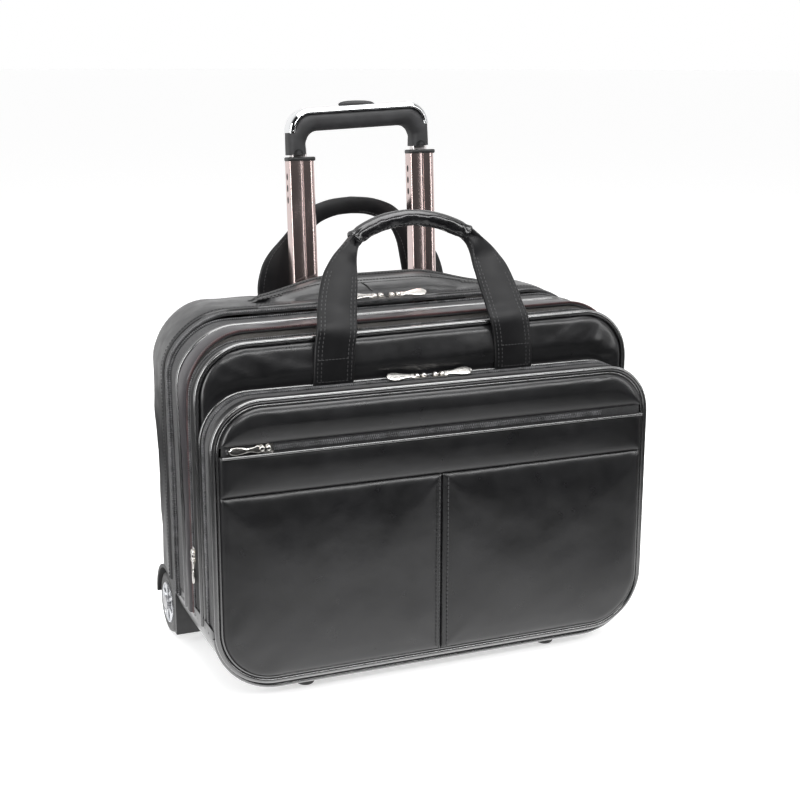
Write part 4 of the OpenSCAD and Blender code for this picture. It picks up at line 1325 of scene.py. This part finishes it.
def gripped(x, v, s):
    """Leaned point of the grip, which sits a little askew by the play in its tubes."""
    return leaned(x * 0.99 - 3.0, v, s - 1.0 + 0.045 * x)


def make_grip():
    """Soft core of the grip, its chrome cap, two notches in painted shade, the button and the rods under it.
    """
    # heights in the leaned frame, then the grip's outer half width and corner radius, in mm
    grip_low, grip_top, cover_from = 453, 496, 478
    half_out, round_out = 73, 22
    outer = grip_line(half_out, round_out, grip_low, grip_top)
    inner = grip_line(55.5, 12, grip_low, grip_top - 22)
    rings = []
    for (xo, so), (xi, si) in zip(outer, inner):
        # the core stands back where the chrome strip covers it
        sunk = 4.8 * ease((so - cover_from + 1.0) / 1.4)
        a, b = gripped(xo, TUBE_V, so), gripped(xi, TUBE_V, si)
        across = (a - b).normalized()
        a = a - across * sunk * mm
        centre, half = (a + b) / 2, (a - b).length / 2
        ring = []
        for u, w in rounded(half, 11.2 * mm, min(8.5 * mm, half * 0.8), 5):
            ring.append(centre + across * u + LEAN_BACK * w)
        rings.append(ring)
    loft("grip_core_soft", rings, GRIP_BLACK, "inner_stage", ("grip_core",), sharp=60)
    rings = []
    cap = [gripped(x, TUBE_V, s) for x, s in grip_line(half_out, round_out, cover_from, grip_top, 12)]
    n = len(cap)
    for i, p in enumerate(cap):
        ahead = cap[min(i + 1, n - 1)] - cap[max(i - 1, 0)]
        out = LEAN_BACK.cross(ahead).normalized()
        if out.dot(p - leaned(0, TUBE_V, 455)) < 0:
            out = -out
        near = min(i, n - 1 - i)
        slim = 0.55 + 0.45 * min(1, near / 4)
        ring = []
        for u, w in rounded(3.2 * mm * slim, (11.4 - 2.2 * (1 - slim)) * mm, 2.3 * mm * slim, 5):
            crown = -0.9 * mm * (w / (11.5 * mm)) ** 2
            slope = 1 - 0.12 * (u / (3.2 * mm * slim) + 1)
            u += crown if u > 0 else 0
            ring.append(p + out * (u - 2.6 * mm) + LEAN_BACK * w * slope)
        rings.append(ring)
    loft("grip_cap", rings, CHROME, "inner_stage", ("grip_cover",), sharp=60)
    # half-round notch low on the front of each leg: a thin near-black disc, painted shade for the hollow
    for sign, word in SIDES:
        centre = gripped(sign * 63.8 - 1.3, TUBE_V - 11.1, 453.6)
        turns = [math.pi * k / 16 for k in range(17)]
        rings = []
        for r, d in ((4.6, -0.6), (4.6, 0.25), (3.9, 0.3), (3.5, 0.1), (2.0, 0.05)):
            foot = centre - LEAN_BACK * d * mm
            rings.append([foot + (ACROSS * math.cos(a) + LEAN_UP * math.sin(a)) * r * mm for a in turns])
        loft(f"grip_notch_{word}", rings, NOTCH_SHADE, "inner_stage", sharp=60)
    make_button()
    soften("release_rods", 0.3 * mm, STEEL)


def make_button():
    """Low domed button let into the top of the grip."""
    foot = gripped(0, TUBE_V, 496.6)
    half_x, half_y = 18.5 * mm, 5.6 * mm
    dome = ((0.97, -6.0), (0.97, -1.0), (1.0, 0.0), (1.0, 0.5), (0.97, 1.2), (0.88, 2.2), (0.72, 3.0),
            (0.5, 3.5), (0.25, 3.7), (0.04, 3.75))
    rings = []
    for grow, lift in dome:
        ring = []
        for k in range(40):
            a = 2 * math.pi * k / 40
            c, d = math.cos(a), math.sin(a)
            x = math.copysign(abs(c) ** 0.75, c) * half_x * grow
            y = math.copysign(abs(d) ** 0.9, d) * half_y * grow
            ring.append(foot + ACROSS * x + LEAN_BACK * y + LEAN_UP * lift * mm)
        rings.append(ring)
    loft("button_dome", rings, GRIP_BLACK, "button", ("release_button",), sharp=60)


def tube_section(w, d):
    """Outline (x, v) of a trolley tube: flat front with a pressed line, broad round right front edge."""
    hw, hd = w / 2, d / 2

    def corner(cx, cv, r, a0, steps):
        turns = [math.radians(a0 + 90 * i / steps) for i in range(steps + 1)]
        return [(cx + r * math.cos(a), cv + r * math.sin(a)) for a in turns]

    line = -hw + 0.48 * w
    pressed = ((-1.6, 0), (-0.9, 0.35), (0, -0.25), (0.9, 0.35), (1.6, 0))
    return (corner(hw - 4, hd - 4, 4, 0, 5) + corner(-hw + 4, hd - 4, 4, 90, 5)
            + corner(-hw + 2.2, -hd + 2.2, 2.2, 180, 5) + [(line + u, -hd + v) for u, v in pressed]
            + corner(hw - 7.5, -hd + 7.5, 7.5, 270, 12))


def make_tubes():
    """Trolley tubes, their collars and the bright tubes inside them, a little askew by their play."""
    slots = []
    for sign, word, shift in ((-1, "left", 0.0), (1, "right", 4.2)):
        x_low, x_top = sign * 62.3, sign * 62.6 - 0.1
        stands_for = sign < 0  # the left piece stands for the CAD node of the pair

        def stacked(x0, x1, levels, section):
            """Rings up the tube. Its centre moves from x0 to x1, and section(s) gives its outline."""
            return [[leaned(mix(x0, x1, ease((s - 250) / widen)) + u, TUBE_V + v, s + lift)
                     for u, v in section(s)] for s, lift, widen in levels]

        drawn = lambda s: ease((s - 262) / 120)
        heights = (180, 200, 240, 262, 275, 290, 320, 350, 380, 410, 430, 443.2)
        rings = stacked(x_low, x_top, [(s, shift * drawn(s), 25) for s in heights],
                        lambda s: tube_section(26.8, mix(16.8, 17.2, ease((s - 250) / 25))))
        loft(f"tube_{word}", rings, TUBE, "middle_stage",
             ("middle_tubes",) if stands_for else (), sharp=35)
        rings = []
        for s, grow in ((443.0, -0.6), (443.3, 0.2), (444.2, 0.5), (446.0, 0.5), (446.8, 0.1), (447.0, -0.9)):
            rings.append([leaned(x_top + u, TUBE_V + v, s + shift)
                          for u, v in rounded(13.4 + grow, 8.6 + grow, 4.5, 5)])
        loft(f"collar_{word}", rings, PLASTIC, "middle_stage",
             ("tube_collars",) if stands_for else (), sharp=50)
        levels = [(s, (shift if s < 445 else shift - 1.0) * drawn(s), 40)
                  for s in (222, 240, 300, 400, 446, 448, 450, 456)]
        rings = stacked(x_low, x_top - 1.7, levels, lambda s: rounded(7.9, 5.2, 3.2, 5))
        loft(f"inner_tube_{word}", rings, STUB, "inner_stage",
             ("inner_tubes",) if stands_for else (), sharp=40)
        # three lock slots on the tube's side: thin near-black lenses, painted shade for the holes
        for k in range(3):
            centre = leaned(x_top - 13.36, TUBE_V, 428.5 - 11 * k + shift)
            lens = [oval(centre + ACROSS * out * mm, LEAN_BACK * 2.1 * r * mm, LEAN_UP * 3.4 * r * mm, 18)
                    for r, out in ((0.9, 0.3), (1.0, -0.06), (0.8, -0.12))]
            slots.append((f"lock_slot_{word}_{k + 1}", lens))
    for name, lens in slots:
        loft(name, lens, NOTCH_SHADE, "middle_stage", sharp=60)


def make_trolley():
    """The tubes, and the trolley's fixed parts, which keep their CAD shapes."""
    make_tubes()
    soften("outer_tubes", 0.3 * mm, STEEL, 2)
    soften("tube_bezel", 0.8 * mm, PLASTIC)
    soften("tube_bracket", 0.8 * mm, FRAME_GREY)
    soften("frame_board", 0.6 * mm, FRAME_GREY)


def lathe(name, centre, profile, material, body, nodes=(), sides=72, sharp=35):
    """Solid of revolution about X: profile is a closed loop of (x, r)."""
    rings = []
    for k in range(sides):
        a = 2 * math.pi * k / sides
        rings.append([centre + Vector((x, math.cos(a) * r, math.sin(a) * r)) for x, r in profile])
    return loft(name, rings, material, body, nodes, loop=True, sharp=sharp)


def make_wheels():
    """Tyres, hubs with spokes, housings, axles and front feet."""
    for sign, word in SIDES:
        low, high = corners(f"tyre_{word}")
        centre = (low + high) / 2
        r = (high.z - low.z) / 2
        half = (high.x - low.x) / 2
        section = []
        for k in range(11):
            a = math.radians(-90 + 180 * k / 10)
            tread = r - 4.5 * mm + 4.5 * mm * max(math.cos(a), 0) ** 0.7
            section.append((sign * half * math.sin(a) * 0.98, tread))
        wall = [(half, r - 6 * mm), (half * 0.9, 20.6 * mm), (half * 0.9, 20.1 * mm)]
        section += [(sign * x, z) for x, z in wall] + [(-sign * x, z) for x, z in reversed(wall)]
        lathe(f"tyre_{word}_round", centre, section, TYRE, f"wheel_{word}", (f"tyre_{word}",), 96)
        soften(f"hub_{word}", 0.8 * mm, HUB, 3)
        rim = [(sign * 10.8 * mm, 19.9 * mm), (sign * 12.3 * mm, 19.7 * mm), (sign * 12.6 * mm, 18.9 * mm),
               (sign * 12.2 * mm, 18.2 * mm), (sign * 11.2 * mm, 17.9 * mm), (sign * 10.8 * mm, 18.2 * mm)]
        lathe(f"hub_rim_{word}", centre, rim, HUB, f"wheel_{word}")
        spokes = []
        for k in range(6):
            a = math.radians(30 + 60 * k)
            out = Vector((0, math.cos(a), math.sin(a)))
            spokes.append((centre + ACROSS * (sign * 11.6 * mm) + out * 13 * mm, out, ACROSS))
        beads(f"hub_spokes_{word}", spokes, (11 * mm, 1.6 * mm, 3.2 * mm), HUB, f"wheel_{word}")
        soften(f"wheel_housing_{word}", 1.6 * mm, PLASTIC, 4)
    soften("wheel_axles", 0.8 * mm, STEEL, 3)
    soften("front_feet", 0.7 * mm, RUBBER, 3)
    soften("foot_screws", 0.5 * mm, STEEL)


# ---------------------------------------------------------------- lip, back panel and well

def make_lip():
    """Bound rear edge of the deck, with two rows of stitches, bartacks and a centre seam."""
    y0 = rear_y0
    rows = ([], [])
    rings, binding = [], []

    def deck_height(x, y, rise, lift):
        return rear.z1 + lift + rear.skew * x + rise * ease((y - y0) / (lip_y1 - y0))

    for i in range(80):
        x = mix(lip_low.x, lip_high.x, i / 79)
        rise = lip_rise(x) * lip_end(x) - 3.6 * mm * (1 - lip_end(x))
        height = lambda y: deck_height(x, y, rise, 1.3 * mm)
        edge = height(lip_y1)
        ring = []
        for k in range(8):
            y = mix(lip_y1 - 11 * mm, lip_y1, k / 7)
            ring.append((x, y, height(y) + 0.7 * mm * ease(k / 2)))
        drop = mix(1.6 * mm, 7 * mm, lip_end(x, 22 * mm))
        under = height(lip_y1 - 10 * mm) - mix(1.2 * mm, 3 * mm, drop / (7 * mm))
        ring += [(x, lip_y1 + 0.1 * mm, edge - 0.4 * mm), (x, lip_y1 + 0.1 * mm, edge - drop),
                 (x, lip_y1 - 1.2 * mm, edge - drop - 1 * mm), (x, lip_y1 - 2.6 * mm, edge - drop * 0.7),
                 (x, lip_y1 - 10 * mm, under)]
        rings.append(ring)
        for row, back_off in zip(rows, (2.6 * mm, 9.4 * mm)):
            y = lip_y1 - back_off
            row.append(((x, y, height(y) + 1.05 * mm), (0, -0.3, 0.95)))
        cord = Vector((x, lip_y1 - 1.2 * mm, edge + 0.7 * mm))
        binding.append(oval(cord, BACK * 1.5 * mm, UP * 1.5 * mm, 10))
    loft("lip", rings, LEATHER, "case", ("handle_lip",), sharp=60)
    spots = []
    for row in rows:
        spots += stitch_line(row[2:-2], 3.4 * mm)
    beads("lip_stitches", spots, (2.6 * mm, 0.7 * mm, 0.6 * mm), LIGHT_THREAD, "case")
    loft("lip_binding", binding, RIM_LEATHER, "case", sharp=80)
    for sign, word in SIDES:
        spots = []
        for k in range(7):
            x = sign * mix(lip_high.x - 30 * mm, lip_high.x - 6 * mm, k / 6)
            for y in (lip_y1 - 10.5 * mm, lip_y1 - 12.5 * mm):
                z = deck_height(x, y, lip_rise(x) * lip_end(x), 2.0 * mm)
                spots.append(((x, y, z), (1, 0.4, 0), BACK))
        beads(f"lip_bartack_{word}", spots, (3.2 * mm, 1.0 * mm, 0.8 * mm), LIGHT_THREAD, "case")
    # seam down the middle of the deck
    seam = []
    for i in range(24):
        t = i / 23
        y = mix(y0 + 9 * mm, lip_y1 - 11 * mm, t)
        x = mix(-4 * mm, -13 * mm, t)
        z = deck_height(x, y, lip_rise(x), 1.35 * mm) - 2.7 * mm * (1 - ease(t / 0.6))
        seam.append(oval(Vector((x, y, z)), ACROSS * 0.7 * mm, UP * 0.45 * mm, 8))
    loft("deck_seam", seam, RIM_LEATHER, "case", sharp=80)


def make_back():
    """Padded back panel in the leaned frame, cut away for the wheels."""
    # half width, top, and radii of the top and bottom corners, in mm
    w, top, rt, rb = 206.5, 311.5, 54, 50
    # the panel is narrower below wheel_s, to clear the wheels
    wheel_x, wheel_s = 179.7, 59

    def half_at(s):
        if s > top - rt:
            return w - rt + math.sqrt(max(rt * rt - (s - top + rt) ** 2, 0))
        if s < rb:
            h = w - rb + math.sqrt(max(rb * rb - (rb - s) ** 2, 0))
            return min(h, wheel_x)
        return w if s > wheel_s else min(w, wheel_x)

    rows, columns = 64, 72
    bm = bmesh.new()
    uv = bm.loops.layers.uv.new("UVMap")
    sheets = []
    levels = [mix(0.6, top - 0.6, crowded(r / rows, 0.8)) for r in range(rows + 1)]
    levels = sorted(levels + [wheel_s - 0.3, wheel_s + 0.3])
    for outside in (True, False):
        grid = []
        for s in levels:
            half = half_at(s) - 0.5
            row = []
            for c in range(columns + 1):
                x = mix(-half, half, crowded(c / columns, 0.7))
                d = min(half - abs(x), s, top - s)
                v = -3.0
                if outside:
                    v = -0.6 + 2.2 * (1 - math.exp(-max(d, 0) / 5)) + wobble(x * mm, 0.1, s * mm, 14, 0.9)
                    v = min(v, 1.2)
                row.append(bm.verts.new(leaned(x, v, s)))
            grid.append(row)
        sheets.append(grid)
    close_sheets(bm, uv, *sheets)
    panel = finish_mesh("back_pad", bm, SIDE_LEATHER, "case", ("back_panel",), 60)
    # piping round the panel, from one wheel housing over the top to the other
    turns = [math.radians(a) for a in range(0, 90, 6)]
    half = [(-w, mix(wheel_s + 2, top - rt, i / 30)) for i in range(30)]
    half += [(-w + rt - rt * math.cos(a), top - rt + rt * math.sin(a)) for a in turns]
    half += [(mix(-w + rt, 0, i / 25), top) for i in range(25)]
    line = half + [(0, top)] + [(-x, s) for x, s in reversed(half)]
    places = [leaned(x, -0.4, s) for x, s in line]
    rings = []
    for i, p in enumerate(places):
        ahead = places[min(i + 1, len(places) - 1)] - places[max(i - 1, 0)]
        out = LEAN_BACK.cross(ahead).normalized()
        rings.append(oval(p, out * 2.0 * mm, LEAN_BACK * 2.0 * mm, 10))
    loft("back_piping", rings, PIPING, "case", sharp=80)


def make_well():
    """Cloth sides of the well that the grip drops into."""

    def place(sign, t, up):
        """Point of the lining. t runs from the front of the well to its back, and up from 0 to 1."""
        v = mix(-42.2, -2.8, t)
        top_z = rear.z1 / mm - 4 - 8 * ease((t - 0.6) / 0.4)
        top_s = (top_z - 12 + v * math.sin(lean)) / math.cos(lean)
        return leaned(sign * 122, v, mix(262, top_s, up))

    for sign, word in SIDES:
        rings = []
        for i in range(14):
            bulge = 1.2 * mm * math.sin(math.pi * i / 13)
            inner = [place(sign, k / 8, i / 13)
                     + ACROSS * (sign * (bulge * math.sin(math.pi * k / 8) + 0.2 * mm)) for k in range(9)]
            outer = [place(sign, 1 - k / 8, i / 13) + ACROSS * (sign * 1.4 * mm) for k in range(9)]
            rings.append(inner + outer)
        loft(f"well_side_{word}", rings, LINING, "case", sharp=60)


# ---------------------------------------------------------------- inside

def make_sleeve():
    """Padded laptop sleeve, open at the top, with a bound mouth."""
    # depth, half width and height in the leaned frame, in mm
    v0, v1 = -83.9, -49.9
    x = 188
    s0, s1 = 12, 274

    def ring(s, inset, bulge):
        pts = []
        for u, w in rounded(x - inset, (v1 - v0) / 2 - inset, 6, 3):
            k = math.cos(math.pi * u / (2 * x)) ** 2
            push = bulge * k * (1 if w > 0 else -1) * math.sin(math.pi * (s - s0) / (s1 - s0))
            pts.append(leaned(u, (v0 + v1) / 2 + w + push, s))
        return pts

    levels = [mix(s0, s1, i / 20) for i in range(21)]
    rings = [ring(s, 0.5, 0.0 if s in (s0, s1) else 0.6) for s in levels]
    rings += [ring(s, 4.0, 0.0) for s in reversed(levels[1:])]
    sleeve = loft("sleeve_pad", rings, LINING, "case", ("laptop_sleeve",), sharp=60)
    binding = []
    mouth = [leaned(u, (v0 + v1) / 2 + w, s1) for u, w in rounded(x - 2, (v1 - v0) / 2 - 2, 5, 4)]
    for i, p in enumerate(mouth):
        ahead = mouth[(i + 1) % len(mouth)] - mouth[i - 1]
        side = ahead.cross(LEAN_UP).normalized()
        binding.append(oval(p, side * 2.6 * mm, LEAN_UP * 2.2 * mm, 8))
    loft("sleeve_binding", binding, TAPE, "case", loop=True, sharp=80)


def make_partition():
    """Lined board between the main and the middle sections."""
    low, high = corners("mid_partition")
    inset = 3.9 * mm
    roomy = lambda z: (-mid.half_width(z, inset), mid.half_width(z, inset))
    pad("partition_pad", mid, low.z + 0.3 * mm, mid.z1 - inset, roomy, high.y, 1.2 * mm, 1.4 * mm, LINING,
        "mid", ("mid_partition",), lambda x, z: mid.inside(x, z) - inset, 0.2, columns=40, rows=40,
        slot="lining")


# ---------------------------------------------------------------- sliders and pulls

def pull_shape(name, node, body, hinge, along, across, length, width, thick=2.0 * mm):
    """Cast pull: an eye, a neck and a domed paddle with a raised rim."""
    along, across = Vector(along).normalized(), Vector(across).normalized()
    up = along.cross(across)
    rings = []
    eye = [(-0.9, 1.3), (0.0, 2.1), (2.5, 2.9), (5.0, 3.1), (7.5, 2.5)]
    paddle = [(0.40, 0.28), (0.55, 0.40), (0.75, 0.5), (0.9, 0.44), (0.97, 0.26), (1.0, 0.08)]
    outline = smooth_line(eye + [(length * a, width * w) for a, w in paddle], 44)
    for a, w in outline:
        w = max(w, 0.3)
        t = thick / 2 * (0.8 if a < 7 else 1.0)
        ring = []
        for u, v in rounded(w * mm, t, t * 0.9, 4):
            s = abs(u) / (w * mm)
            dish = -0.35 * mm * (1 - ease((s - 0.55) / 0.2)) if a > length * 0.42 else 0.0
            ring.append(Vector(hinge) + along * (a * mm) + across * u + up * (v + math.copysign(dish, v)))
        rings.append(ring)
    return loft(name, rings, NICKEL, body, (node,), sharp=50)


def slider_crown(name, body, centre, along, up, length=12.5, width=8.4, height=4.6):
    """Rounded crown cast over a slider's bridge, with its two cheeks."""
    along, up = Vector(along).normalized(), Vector(up).normalized()
    side = up.cross(along)
    for lobe, word in ((-1, "tail"), (1, "nose")):
        rings = []
        for k in range(9):
            t = -1 + 2 * k / 8
            grow = math.sqrt(max(1 - t * t, 0.02))
            core = Vector(centre) + (along * (lobe * 0.27 + t * 0.24) * length + up * height / 2) * mm
            rings.append(oval(core, side * width / 2 * grow * mm, up * height / 2 * grow * mm, 12))
        loft(f"{name}_{word}", rings, NICKEL, body, sharp=70)


def make_sliders():
    """Zip sliders from the frame, each with a cast crown and a pull."""
    for node in ("pocket_slider_left", "pocket_slider_right", "main_slider_left", "main_slider_right",
                 "middle_slider", "face_slider"):
        soften(node, 0.45 * mm, NICKEL, 3)
    tip = math.radians(26)
    for zip_name in ("pocket", "main"):
        for sign, word in SIDES:
            node = f"{zip_name}_pull_{word}"
            low, high = corners(node)
            hinge = (low + high) / 2
            hinge.x = (low.x if sign > 0 else high.x) + sign * 0.55 * mm
            pull_shape(f"{zip_name}_paddle_{word}", node, node, hinge, (sign, 0, 0.03),
                       (0, math.cos(tip), math.sin(tip)), 30, 11)
            low, high = corners(f"{zip_name}_slider_{word}")
            centre = (low + high) / 2
            centre.z = high.z - 3.6 * mm
            slider_crown(f"{zip_name}_crown_{word}", f"{zip_name}_slider_{word}", centre, (sign, 0, 0), UP)
    low, high = corners("middle_pull")
    hinge = (low + high) / 2
    hinge.z = high.z - 0.55 * mm
    pull_shape("middle_paddle", "middle_pull", "middle_pull", hinge, -UP, BACK, 24, 6.8)
    low, high = corners("middle_slider")
    centre = (low + high) / 2
    centre.x = low.x + 3.4 * mm
    slider_crown("middle_crown", "middle_slider", centre, UP, -ACROSS, 12, 7.4, 4.0)
    low, high = corners("face_pull")
    hinge = (low + high) / 2
    hinge.x = high.x - 0.55 * mm
    pull_shape("face_paddle", "face_pull", "face_pull", hinge, -ACROSS, (0, 0.25, 1), 30, 7.0)
    low, high = corners("face_slider")
    centre = (low + high) / 2
    centre.y = low.y + 3.4 * mm
    slider_crown("face_crown", "face_slider", centre, ACROSS, -BACK, 10.5, 6.8, 4.0)


make_camera()
make_floor()
make_light()
make_walls()
make_face()
make_front_face()
make_front_handle()
make_rear_handle()
make_grip()
make_trolley()
make_wheels()
make_lip()
make_back()
make_well()
make_sleeve()
make_partition()
make_sliders()

low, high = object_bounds()
{"cad": [list(cad_low), list(cad_high)], "visual": [list(low), list(high)]}
